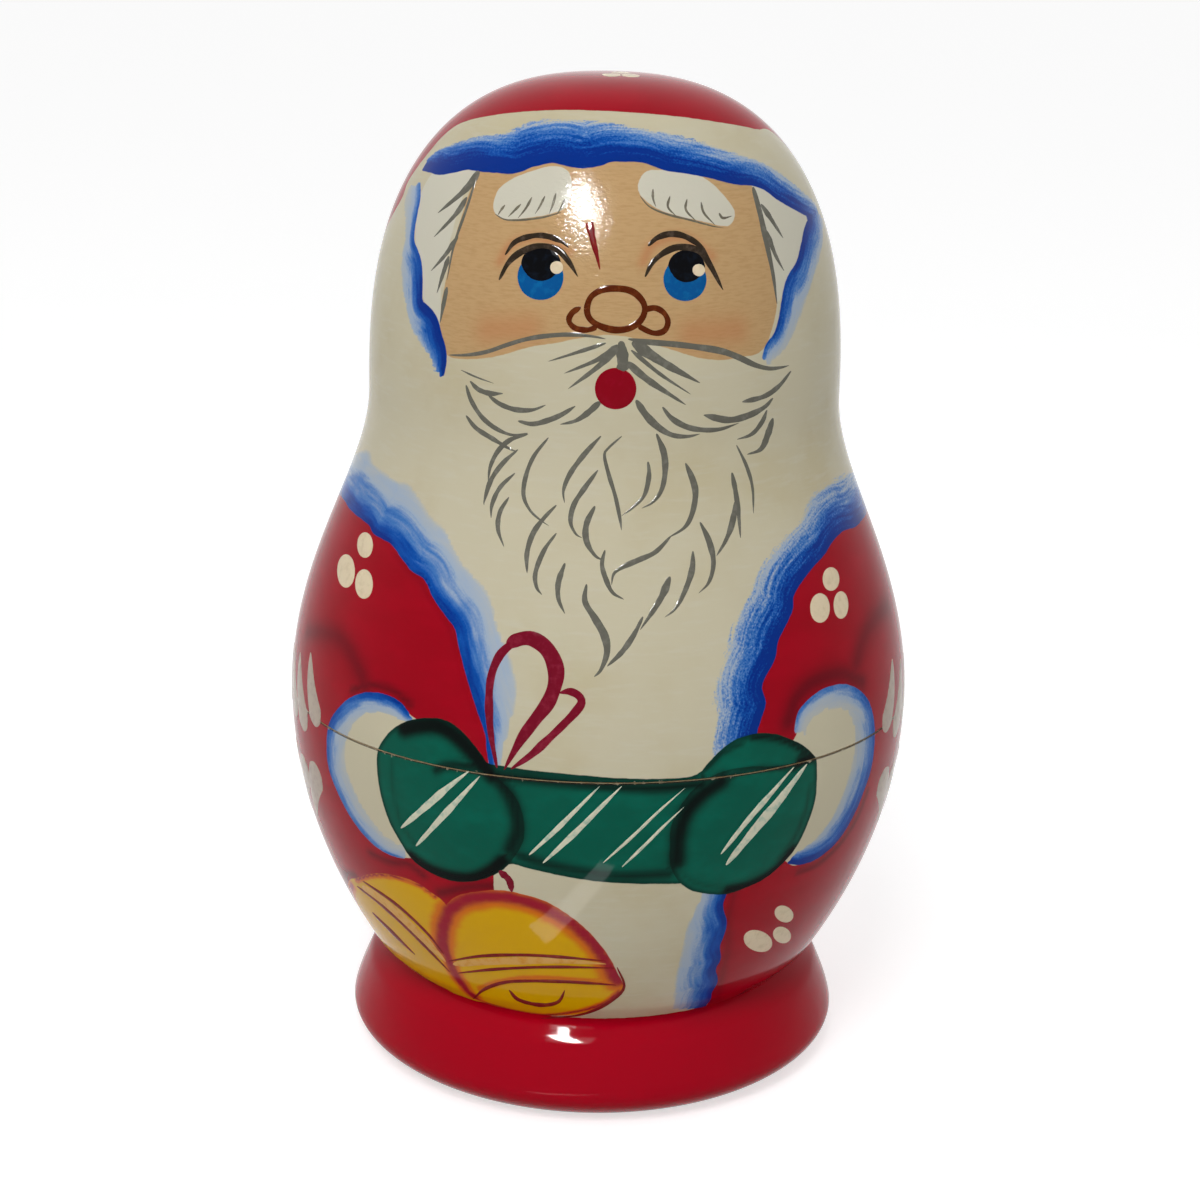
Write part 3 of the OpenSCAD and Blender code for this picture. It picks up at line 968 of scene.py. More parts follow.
    bells = [
        Stroke(Paint.PEACH, 7.0, [(453, 964), (490, 961.5), (530, 960.5), (570, 961.5), (606, 964)],
               (0.1, 0.5)),
        Stroke(Paint.PEACH, 8.0, [(362, 886), (392, 909), (420, 936), (446, 962)], (0.1, 0.3)),
        Stroke(Paint.GLAZE, 3.0, [(449, 961), (482, 956), (524, 955), (560, 957), (606, 961)], (0.2, 0.3),
               1),
        Stroke(Paint.GLAZE, 2.8, [(458, 973), (499, 969), (550, 967), (614, 968)], (0.2, 0.3), 1),
        Stroke(Paint.GLAZE, 3.0, [(473, 999), (485, 989), (504, 982.5), (531, 981), (570, 982), (616, 985)],
               (0.1, 0.2), 1),
        Stroke(Paint.GLAZE, 3.6, [(509, 990), (519, 1000), (541, 1005), (558, 1002), (565, 990)],
               (0.2, 0.2), 1),
        Stroke(Paint.GLAZE, 2.8, [(617, 967), (624, 988), (605, 1005), (579, 1015), (541, 1018.5)],
               (0.2, 0.5), 1),
        Stroke(Paint.GLAZE, 2.6, [(363, 881), (397, 905), (426, 932), (444, 954)], (0.2, 0.3), 1),
        Stroke(Paint.GLAZE, 2.8, [(357, 886), (384, 907), (416, 937), (450, 972)], (0.2, 0.3), 1),
        Stroke(Paint.GLAZE, 1.15, [Around(-55, 19.9), Around(-49.5, 18.4), Around(-44, 16.4)], (0.5, 0.5),
               1),
    ]
    dots = dabs_of(Paint.WHITE, [
        ((365, 545), 8, 13), ((346, 571), 9, 17), ((364, 584), 9, 15), ((831, 579), 8.5, 12),
        ((820, 608), 10, 15), ((841, 605), 7.5, 14), ((784, 914), 10, 8, 30), ((758, 941), 15, 10.5, 20),
        ((782, 935), 9.5, 8, 30), (OnTop(0.1, -3.3), 1.0, 1.4), (OnTop(2.1, -3.1), 1.0, 1.4),
        (OnTop(1.05, -0.6), 1.0, 1.4),
    ])
    # Sprays of petals on the sides of the sleeves: their middles, and for each petal the degrees and
    # millimetres from there at its two ends, and its width
    sprays = [Around(-69.0, 39.3), Around(72.5, 39.3)]
    petals = [
        (-9.4, 2.4, -3.2, 9.6, 3.2), (-2.9, 0.6, 3.5, 8.4, 3.6), (3.8, 0.9, 10.0, 8.0, 3.4),
        (10.5, 1.6, 16.0, 7.2, 2.8), (-8.2, -2.6, 0.2, -10.2, 3.8), (-0.6, -3.4, 8.0, -11.0, 4.0),
        (7.4, -2.8, 15.5, -9.4, 3.4),
    ]
    petal_taper = (0.2, 0.85)
    # Threes of dots on the back: places of a three, half a dot's width and height, and middles of the threes
    trio = [(0, 2.4), (-2.4, -0.8), (2.4, -0.8)]
    back_dot = (0.95, 1.4)
    back_dots = [
        Around(128, 52), Around(180, 55), Around(-128, 52), Around(150, 30), Around(-150, 30),
        Around(118, 24), Around(-118, 24), Around(180, 88), Around(146, 96), Around(-146, 96),
    ]

    def marks(self) -> list[Union[Stroke, Blob]]:
        """Gathers the strokes and dabs, with those on the sides and the back.

        Returns:
            All of them, in the order they are painted.
        """
        made = [*self.eyes, *self.nose, *self.brows, *self.hair, *self.moustache, *self.beard, *self.ribbon]
        made += [*self.gleams, *self.bells, *self.dots]
        for turn, height in self.sprays:
            side = math.copysign(1, turn)
            for a, low, b, high, width in self.petals:
                steps = ((a, low), (0.4 * a + 0.6 * b, (low + high) / 2), (b, high))
                path = [Around(turn + side * d, height + h) for d, h in steps]
                made.append(Stroke(Paint.FADED, width, path, self.petal_taper))
        for turn, height in self.back_dots:
            rows = [(Around(turn + aside, height + up), *self.back_dot) for aside, up in self.trio]
            made += dabs_of(Paint.WHITE, rows)
        return made

    def lift(self, layer: int) -> float:
        """Height of a film's crest over the painted ground."""
        return self.film + self.layer_step * layer

    def flat(self, places: Sequence[Place]) -> np.ndarray:
        """Lays places out flat: as pixels, as millimetres around the doll and up, or as on top."""
        rows = np.array(places, float)
        return rows * (math.radians(self.girth), 1.0) if isinstance(places[0], Around) else rows

    def spots(self, points: np.ndarray, place: Place) -> np.ndarray:
        """Takes points that were laid out flat back to the doll.

        Args:
            points: Rows as the flat layout has them.
            place: A place of the kind that was laid out.

        Returns:
            Rows of angle in radians and height in millimetres.
        """
        if isinstance(place, OnTop):
            right, behind = points.T
            return np.c_[np.arctan2(right, -behind), OUTLINE.crown_height(np.hypot(right, behind))]
        return points / (self.girth, 1.0) if isinstance(place, Around) else VIEW.on_doll(points)

    def ribbon_of(self, bm: bmesh.types.BMesh, stroke: Stroke, seed: int) -> list[bmesh.types.BMVert]:
        """Lays one stroke on the doll as a crowned strip.

        Args:
            bm: Mesh that takes it, in millimetres.
            stroke: The stroke.
            seed: Number that sets how its edges waver.

        Returns:
            Its vertices.
        """
        path = curve_through(self.flat(stroke.places), 8, stroke.closed)
        run = np.r_[0, np.cumsum(np.linalg.norm(np.diff(path, axis=0), axis=1))]
        steps = self.stroke_faces * (len(stroke.places) + 1)
        verts = bmesh.ops.create_grid(bm, x_segments=steps, y_segments=self.stroke_faces, size=1.0)["verts"]
        grid = np.array([v.co[:2] for v in verts])
        along, across = (1 + np.sin(grid[:, 0] * math.pi / 2)) / 2, grid[:, 1]
        reached = along * run[-1]
        at = np.c_[[np.interp(reached, run, path[:, i]) for i in (0, 1)]].T
        side = np.c_[[np.interp(reached, run, np.gradient(path[:, i], run)) for i in (1, 0)]].T * (-1, 1)
        side /= np.linalg.norm(side, axis=1)[:, None] + 1e-9
        start, end = stroke.taper
        first, last = self.rounding
        shape = np.clip(along / start, 0, 1) ** first * np.clip((1 - along) / end, 0, 1) ** last
        if stroke.closed:
            shape = np.ones_like(along)
        shake = 0.0 if isinstance(stroke.places[0], Around) else 1.0
        waver = 1 + shake * sum(share * np.sin(along * far + by * seed) for share, far, by in self.waves)
        half = stroke.width / 2 * self.load * np.maximum(shape, self.tip) * waver
        rise = (self.lift(stroke.layer) + self.sunk) * (1 - across**4) - self.sunk
        spots = self.spots(at + side * (half * across)[:, None], stroke.places[0])
        for v, p in zip(verts, OUTLINE.stand(spots, rise)):
            v.co = p
        return verts

    def dab_of(self, bm: bmesh.types.BMesh, blob: Blob) -> list[bmesh.types.BMVert]:
        """Lays one round dab on the doll as a crowned disc.

        Args:
            bm: Mesh that takes it, in millimetres.
            blob: The dab.

        Returns:
            Its vertices.
        """
        faces = self.dab_faces
        verts = bmesh.ops.create_grid(bm, x_segments=faces, y_segments=faces, size=1.0)["verts"]
        g = np.array([v.co[:2] for v in verts])
        x, y = g[:, 0] * np.sqrt(1 - g[:, 1] ** 2 / 2), g[:, 1] * np.sqrt(1 - g[:, 0] ** 2 / 2)
        tilt = math.radians(blob.tilt)
        u = x * blob.across * math.cos(tilt) - y * blob.up * math.sin(tilt)
        w = x * blob.across * math.sin(tilt) + y * blob.up * math.cos(tilt)
        rise = (self.lift(blob.layer) + self.sunk) * (1 - (x**2 + y**2) ** 3) - self.sunk
        spots = self.spots(self.flat([blob.place]) + self.spread * np.c_[u, w], blob.place)
        for v, p in zip(verts, OUTLINE.stand(spots, rise)):
            v.co = p
        return verts

    def build(self) -> bmesh.types.BMesh:
        """Lays every stroke and dab on the largest doll.

        Returns:
            Mesh in millimetres, with one material per paint.
        """
        bm = bmesh.new()
        order = list(Paint)
        for seed, mark in enumerate(self.marks()):
            verts = self.ribbon_of(bm, mark, seed) if isinstance(mark, Stroke) else self.dab_of(bm, mark)
            for f in {f for v in verts for f in v.link_faces}:
                f.material_index = order.index(mark.paint)
                f.smooth = True
                f.normal_update()
                if f.normal.dot(f.calc_center_median() * Vector((1, 1, 0))) < 0:
                    f.normal_flip()
        return bm


Socket = bpy.types.NodeSocket


class Shader:
    """A material's nodes, or the world's, added one at a time."""

    def __init__(self, name: str) -> None:
        """Starts an empty material.

        Args:
            name: Name of the material.
        """
        self.material = bpy.data.materials.new(name)
        self.material.use_nodes = True
        self.tree = self.material.node_tree
        self.tree.nodes.clear()

    @classmethod
    def of(cls, tree: bpy.types.NodeTree) -> "Shader":
        """Starts on a tree of nodes that is there already, and empties it.

        Args:
            tree: The tree, such as the world's.

        Returns:
            What adds nodes to it.
        """
        made = cls.__new__(cls)
        made.tree = tree
        tree.nodes.clear()
        return made

    def add(self, kind: str, inputs: dict, output: Union[int, str] = 0, **settings: object) -> Socket:
        """Adds a node.

        Args:
            kind: Kind of shader node, without its prefix.
            inputs: Socket to link from, or value to set, by the input's name or number.
            output: Output that is handed back.
            settings: Settings of the node itself.

        Returns:
            The output socket.
        """
        node = self.tree.nodes.new("ShaderNode" + kind)
        for key, value in settings.items():
            setattr(node, key, value)
        for key, value in inputs.items():
            if isinstance(value, Socket):
                self.tree.links.new(value, node.inputs[key])
            else:
                node.inputs[key].default_value = value
        return node.outputs[output]

    def place(self, stretch: tuple[float, float, float] = (1.0, 1.0, 1.0)) -> Socket:
        """Place on the object in millimetres, stretched along each axis to draw a pattern out."""
        seen = self.add("TexCoord", {}, "Object")
        return self.add("VectorMath", {0: seen, 1: tuple(s / MM for s in stretch)}, operation="MULTIPLY")

    def noise(self, place: Socket, scale: float, detail: float = 3.0) -> Socket:
        """Noise from 0 to 1 with so many waves per millimetre."""
        return self.add("TexNoise", {"Vector": place, "Scale": scale, "Detail": detail, "Roughness": 0.55})

    def span(self, value: Socket, low: float, high: float, start: float = 0.0, end: float = 1.0) -> Socket:
        """Eases a value that runs from low to high into the range from start to end."""
        ends = {"Value": value, "From Min": low, "From Max": high, "To Min": start, "To Max": end}
        return self.add("MapRange", ends, interpolation_type="SMOOTHSTEP")

    def sum(self, a: object, b: object, factor: float = 1.0) -> Socket:
        """Adds to a value another one times a factor."""
        return self.add("Math", {0: b, 1: factor, 2: a}, operation="MULTIPLY_ADD")

    def product(self, a: object, b: object) -> Socket:
        """Multiplies two values."""
        return self.add("Math", {0: a, 1: b}, operation="MULTIPLY")

    def larger(self, a: object, b: object) -> Socket:
        """Takes the larger one of two values."""
        return self.add("Math", {0: a, 1: b}, operation="MAXIMUM")

    def carried(self, name: str) -> Socket:
        """Value of a layer that the vertices carry."""
        return self.add("Attribute", {}, "Fac", attribute_name=name)

    def over(self, below: object, above: object, cover: object) -> Socket:
        """Lays one colour over another as far as it covers."""
        return self.add("Mix", {0: cover, 6: below, 7: above}, 2, data_type="RGBA")

    def seen(self) -> Socket:
        """Tells what is seen from light that falls on things.

        Returns:
            One for what is seen straight on, in gloss or through glass, and zero for the rest.
        """
        seen = self.add("LightPath", {}, "Is Camera Ray")
        for kind in ("Is Glossy Ray", "Is Transmission Ray"):
            seen = self.larger(seen, self.add("LightPath", {}, kind))
        return seen

    def finish(self, **surface: object) -> bpy.types.Material:
        """Ends the material with a surface.

        Args:
            surface: Values and links by the names of the surface's inputs.

        Returns:
            The material.
        """
        inputs = {key.replace("_", " "): value for key, value in surface.items()}
        self.show(self.add("BsdfPrincipled", inputs))
        return self.material

    def show(self, shown: Socket, output: str = "OutputMaterial") -> None:
        """Shows a surface as the material's, or light as the world's."""
        self.tree.links.new(shown, self.tree.nodes.new("ShaderNode" + output).inputs["Surface"])


@dataclass(frozen=True)
class Varnish:
    """Clear gloss varnish brushed over all the painting."""

    weight: float = 0.85
    roughness: float = 0.05
    ior: float = 1.15

    def inputs(self) -> dict[str, float]:
        """The varnish as inputs of a surface, over paint that has no gloss of its own."""
        coat = {"Coat_Weight": self.weight, "Coat_Roughness": self.roughness, "Coat_IOR": self.ior}
        return {**coat, "Specular_IOR_Level": 0.0}


VARNISH = Varnish()


# Brush-painted tempera on turned lime wood under clear gloss varnish. The eye gets even cream with faint
# brush marks, bare wood grain in the face, deep red with darker folds, side-loaded blue fur, and sharp
# reflections over it all.
@dataclass(frozen=True)
class VarnishedPainting:
    """Finish of the outside of a doll, mixed from the layers that its vertices carry."""

    cream: str = "#CFC7AB"
    cream_warm: str = "#C4B791"
    white: str = "#D3CFBD"
    skin: str = "#C6A273"
    skin_dark: str = "#B08B5A"
    blush: str = "#BE7A4C"
    red: str = "#A20018"
    red_light: str = "#AA001B"
    foot_red: str = "#AE001C"
    fold: str = "#3C0614"
    blue_deep: str = "#00308C"
    blue: str = "#0C54B0"
    blue_mid: str = "#4A7EC2"
    blue_pale: str = "#A4B6CC"
    green: str = "#005A48"
    green_light: str = "#006C58"
    green_dark: str = "#000504"
    yellow: str = "#E0AC00"
    orange: str = "#DB7412"
    glaze: str = "#A0162E"
    # Colour of the painted shade that darkens the lips on both sides of the seam gap
    seam_shade: str = "#2A1E16"
    chip: str = "#C6BA9C"
    # Half the width of an edge, and how far edges waver, in millimetres
    edge: float = 0.05
    waver: float = 0.16
    # How strongly the warm pink and the dark folds are glazed on, and how worn the seam is
    blush_cover: float = 0.62
    fold_cover: float = 0.62
    wear: float = 0.5

    def layer(self, nodes: Shader, name: str, wobble: Socket) -> Socket:
        """Depth inside a painted area, its edge wavering as a brush does.

        Args:
            nodes: Material that is being built.
            name: Name of the area's layer.
            wobble: Noise that the edge follows.

        Returns:
            Depth in millimetres.
        """
        return nodes.sum(nodes.sum(nodes.carried(name), wobble, self.waver), -self.waver / 2)

    def covered(self, nodes: Shader, name: str, wobble: Socket) -> Socket:
        """One inside a painted area and zero outside it."""
        return nodes.span(self.layer(nodes, name, wobble), -self.edge, self.edge)

    def ground(self, nodes: Shader, wobble: Socket) -> Socket:
        """Colour of the cream ground, the white hair and the bare wood of the face.

        Args:
            nodes: Material that is being built.
            wobble: Noise that edges follow.

        Returns:
            The colour.
        """
        cloud = nodes.noise(nodes.place(), 0.09, 4.0)
        marks = nodes.noise(nodes.place((0.35, 0.35, 2.2)), 0.8, 4.0)
        warm = nodes.span(cloud, 0.42, 0.72, 0.0, 0.55)
        colour = nodes.over(linear(self.cream), linear(self.cream_warm), warm)
        colour = nodes.over(colour, linear(self.white), nodes.span(marks, 0.48, 0.75, 0.0, 0.35))
        hair = self.covered(nodes, "hair", wobble)
        grain = nodes.noise(nodes.place((0.5, 0.5, 3.0)), 1.7, 5.0)
        dark = nodes.span(grain, 0.38, 0.75, 0.0, 0.45)
        skin = nodes.over(linear(self.skin), linear(self.skin_dark), dark)
        flush = nodes.carried("blush")
        skin = nodes.over(skin, linear(self.blush), nodes.product(flush, self.blush_cover))
        colour = nodes.over(colour, skin, self.covered(nodes, "skin", wobble))
        return nodes.over(colour, linear(self.white), hair)

    def coat(self, nodes: Shader, below: Socket, wobble: Socket) -> Socket:
        """Colour after the red coat, hood and foot, and the cream cuffs.

        Args:
            nodes: Material that is being built.
            below: Colour so far.
            wobble: Noise that edges follow.

        Returns:
            The colour.
        """
        cloud = nodes.noise(nodes.place((0.6, 0.6, 1.4)), 0.22, 3.0)
        red = nodes.over(linear(self.red), linear(self.red_light), nodes.span(cloud, 0.35, 0.7))
        dark = nodes.carried("fold")
        red = nodes.over(red, linear(self.fold), nodes.product(dark, self.fold_cover))
        colour = nodes.over(below, red, self.covered(nodes, "red", wobble))
        return nodes.over(colour, linear(self.cream), self.covered(nodes, "cuff", wobble))

    def fur(self, nodes: Shader, below: Socket, wobble: Socket) -> Socket:
        """Colour after the blue strokes along the fur, crisp on one side and brushed out dry on the other.

        Args:
            nodes: Material that is being built.
            below: Colour so far.
            wobble: Noise that edges follow.

        Returns:
            The colour.
        """
        names = ("fur_along", "fur_from", "fur_across", "fur_thin", "fur_grit")
        along, out, across, thin, grit = (nodes.carried(name) for name in names)

        def drawn(run: float, side: float, detail: float) -> Socket:
            """Noise drawn out along the stroke, with so many waves per millimetre along it and across it."""
            place = nodes.add("CombineXYZ", {0: nodes.sum(0.0, along, run), 1: nodes.sum(0.0, out, side)})
            return nodes.noise(place, 1.0, detail)

        lines = drawn(0.2, 2.4, 5.0)
        specks = nodes.noise(nodes.place(), 4.5, 2.0)
        washes = drawn(0.16, 0.8, 3.0)
        dry = nodes.sum(nodes.sum(-0.9, lines, 1.1), specks, 0.7)
        wash = nodes.sum(nodes.sum(-0.3, washes, 0.55), lines, 0.05)
        streaks = nodes.sum(wash, nodes.product(grit, nodes.sum(dry, wash, -1.0)))
        load = nodes.sum(nodes.sum(nodes.sum(across, thin), streaks), nodes.sum(-0.5, washes), 0.4)
        colour = nodes.over(linear(self.blue_deep), linear(self.blue), nodes.span(load, 0.0, 0.3))
        colour = nodes.over(colour, linear(self.blue_mid), nodes.span(load, 0.22, 0.48))
        colour = nodes.over(colour, linear(self.blue_pale), nodes.span(load, 0.42, 0.75))
        fade = nodes.span(nodes.sum(across, nodes.product(grit, dry), 0.4), 0.86, 0.97, 1.0, 0.0)
        cover = nodes.product(nodes.span(self.layer(nodes, "fur", wobble), -0.16, -0.06), fade)
        return nodes.over(below, colour, nodes.product(cover, nodes.span(load, 0.6, 1.3, 1.0, 0.45)))

    def hands(self, nodes: Shader, below: Socket, wobble: Socket) -> Socket:
        """Colour after the green wrap and mittens, each dark at its own edge, and the bells.

        Args:
            nodes: Material that is being built.
            below: Colour so far.
            wobble: Noise that edges follow.

        Returns:
            The colour.
        """
        cloud = nodes.noise(nodes.place((0.7, 0.7, 1.2)), 0.3, 3.0)
        shade = nodes.carried("green_shade")
        colour = below
        pale = nodes.span(cloud, 0.4, 0.75, 0.0, 0.5)
        base = nodes.over(linear(self.green), linear(self.green_light), pale)
        for name in ("wrap", "right_thumb", "left_mitten", "right_mitten"):
            depth = self.layer(nodes, name, wobble)
            green = nodes.over(base, linear(self.green_dark), nodes.span(depth, 0.0, 0.7, 0.6, 0.0))
            colour = nodes.over(colour, green, nodes.span(depth, -self.edge, self.edge))
        held = self.covered(nodes, "wrap", wobble)
        for name in ("right_thumb", "left_mitten", "right_mitten"):
            held = nodes.larger(held, self.covered(nodes, name, wobble))
        dark = nodes.product(held, nodes.span(shade, 0.08, 0.95, 0.0, 0.98))
        colour = nodes.over(colour, linear(self.green_dark), dark)
        brushed = nodes.noise(nodes.place((1.0, 1.0, 2.0)), 0.5, 4.0)
        wash = nodes.sum(nodes.carried("glaze"), brushed, 0.3)
        bell = nodes.over(linear(self.yellow), linear(self.orange), nodes.span(wash, 0.2, 0.62))
        bell = nodes.over(bell, linear(self.glaze), nodes.span(wash, 0.62, 1.15))
        for name in ("back_bell", "front_bell"):
            colour = nodes.over(colour, bell, self.covered(nodes, name, wobble))
        return colour

    def material(self) -> bpy.types.Material:
        """Builds the finish.

        Returns:
            The material.
        """
        nodes = Shader("varnished_tempera_on_lime")
        wobble = nodes.noise(nodes.place(), 1.1, 3.0)
        colour = self.ground(nodes, wobble)
        colour = self.coat(nodes, colour, wobble)
        colour = self.fur(nodes, colour, wobble)
        colour = self.hands(nodes, colour, wobble)
        colour = nodes.over(colour, linear(self.foot_red), self.covered(nodes, "foot", wobble))
        seam = nodes.carried("seam")
        bite = nodes.noise(nodes.place(), 1.6, 4.0)
        # Painted shade along the seam gap, strongest on its lips, then chips where the paint is worn off
        colour = nodes.over(colour, linear(self.seam_shade), nodes.span(seam, 0.07, 0.17, 0.8, 0.0))
        worn = nodes.span(nodes.sum(seam, nodes.span(bite, 0.54, 0.72), -0.34), -0.14, 0.02, 1.0, 0.0)
        colour = nodes.over(colour, linear(self.chip), nodes.product(worn, self.wear))
        ripple = nodes.noise(nodes.place((0.6, 0.6, 1.5)), 0.5, 3.0)
        wood = nodes.span(nodes.carried("skin"), 0.0, 0.6, 0.12, 2.6)
        grain = nodes.product(nodes.noise(nodes.place((0.8, 0.8, 1.3)), 2.6, 2.0), wood)
        relief = nodes.sum(grain, ripple, 0.3)
        bump = nodes.add("Bump", {"Height": relief, "Strength": 0.6, "Distance": 0.03 * MM})
        rough = nodes.span(ripple, 0.3, 0.7, 0.42, 0.55)
        return nodes.finish(
            Base_Color=colour, Roughness=rough, Normal=bump, Coat_Normal=bump, **VARNISH.inputs()
        )


# Bare lime wood straight from the lathe. The eye gets pale warm wood, fine rings left by the gouge and
# darker flecks.
@dataclass(frozen=True)
class TurnedLime:
    """Finish of the bare wood inside a doll, on its rims and under its foot."""

    light: str = "#D8C39A"
    dark: str = "#B9996A"
    ring: str = "#C7AC7E"

    def material(self) -> bpy.types.Material:
        """Builds the finish.

        Returns:
            The material.
        """
        nodes = Shader("turned_lime_wood")
        fleck = nodes.noise(nodes.place((2.0, 2.0, 0.12)), 0.8, 5.0)
        rings = nodes.noise(nodes.place((0.04, 0.04, 3.0)), 0.9, 3.0)
        colour = nodes.over(linear(self.light), linear(self.dark), nodes.span(fleck, 0.5, 0.8, 0.0, 0.7))
        colour = nodes.over(colour, linear(self.ring), nodes.span(rings, 0.45, 0.7, 0.0, 0.6))
        relief = nodes.sum(rings, fleck, 0.4)
        bump = nodes.add("Bump", {"Height": relief, "Strength": 0.5, "Distance": 0.15 * MM})
        rough = nodes.span(fleck, 0.3, 0.8, 0.55, 0.75)
        return nodes.finish(Base_Color=colour, Roughness=rough, Normal=bump)


# One brush-load of tempera under the same varnish. The eye gets a dense stroke that changes colour where it
# is thin, glossy on top.
@dataclass(frozen=True)
class BrushLoad:
    """Finish of the strokes made with one paint."""

    paint: Paint

    def material(self) -> bpy.types.Material:
        """Builds the finish.

        Returns:
            The material.
        """
        nodes = Shader(f"brushed_tempera_{self.paint.name.lower()}")
        thin = nodes.noise(nodes.place(), 1.3, 4.0)
        full, sparse = self.paint.value
        colour = nodes.over(linear(full), linear(sparse), nodes.span(thin, 0.45, 0.75))
        return nodes.finish(Base_Color=colour, Roughness=0.5, **VARNISH.inputs())


def piece_of(bm: bmesh.types.BMesh, name: str) -> bpy.types.Object:
    """Ends a mesh that was built up, and puts it in the scene.

    Args:
        bm: The mesh, which is freed.
        name: Name of the mesh and its object.

    Returns:
        The object.
    """
    mesh = bpy.data.meshes.new(name)
    bm.to_mesh(mesh)
    bm.free()
    piece = bpy.data.objects.new(name, mesh)
    bpy.context.scene.collection.objects.link(piece)
    return piece


class Half(Enum):
    """Ways a doll is cut: its upper half, its lower half, or turned from one piece."""

    TOP = "top"
    BOTTOM = "bottom"
    WHOLE = "whole"


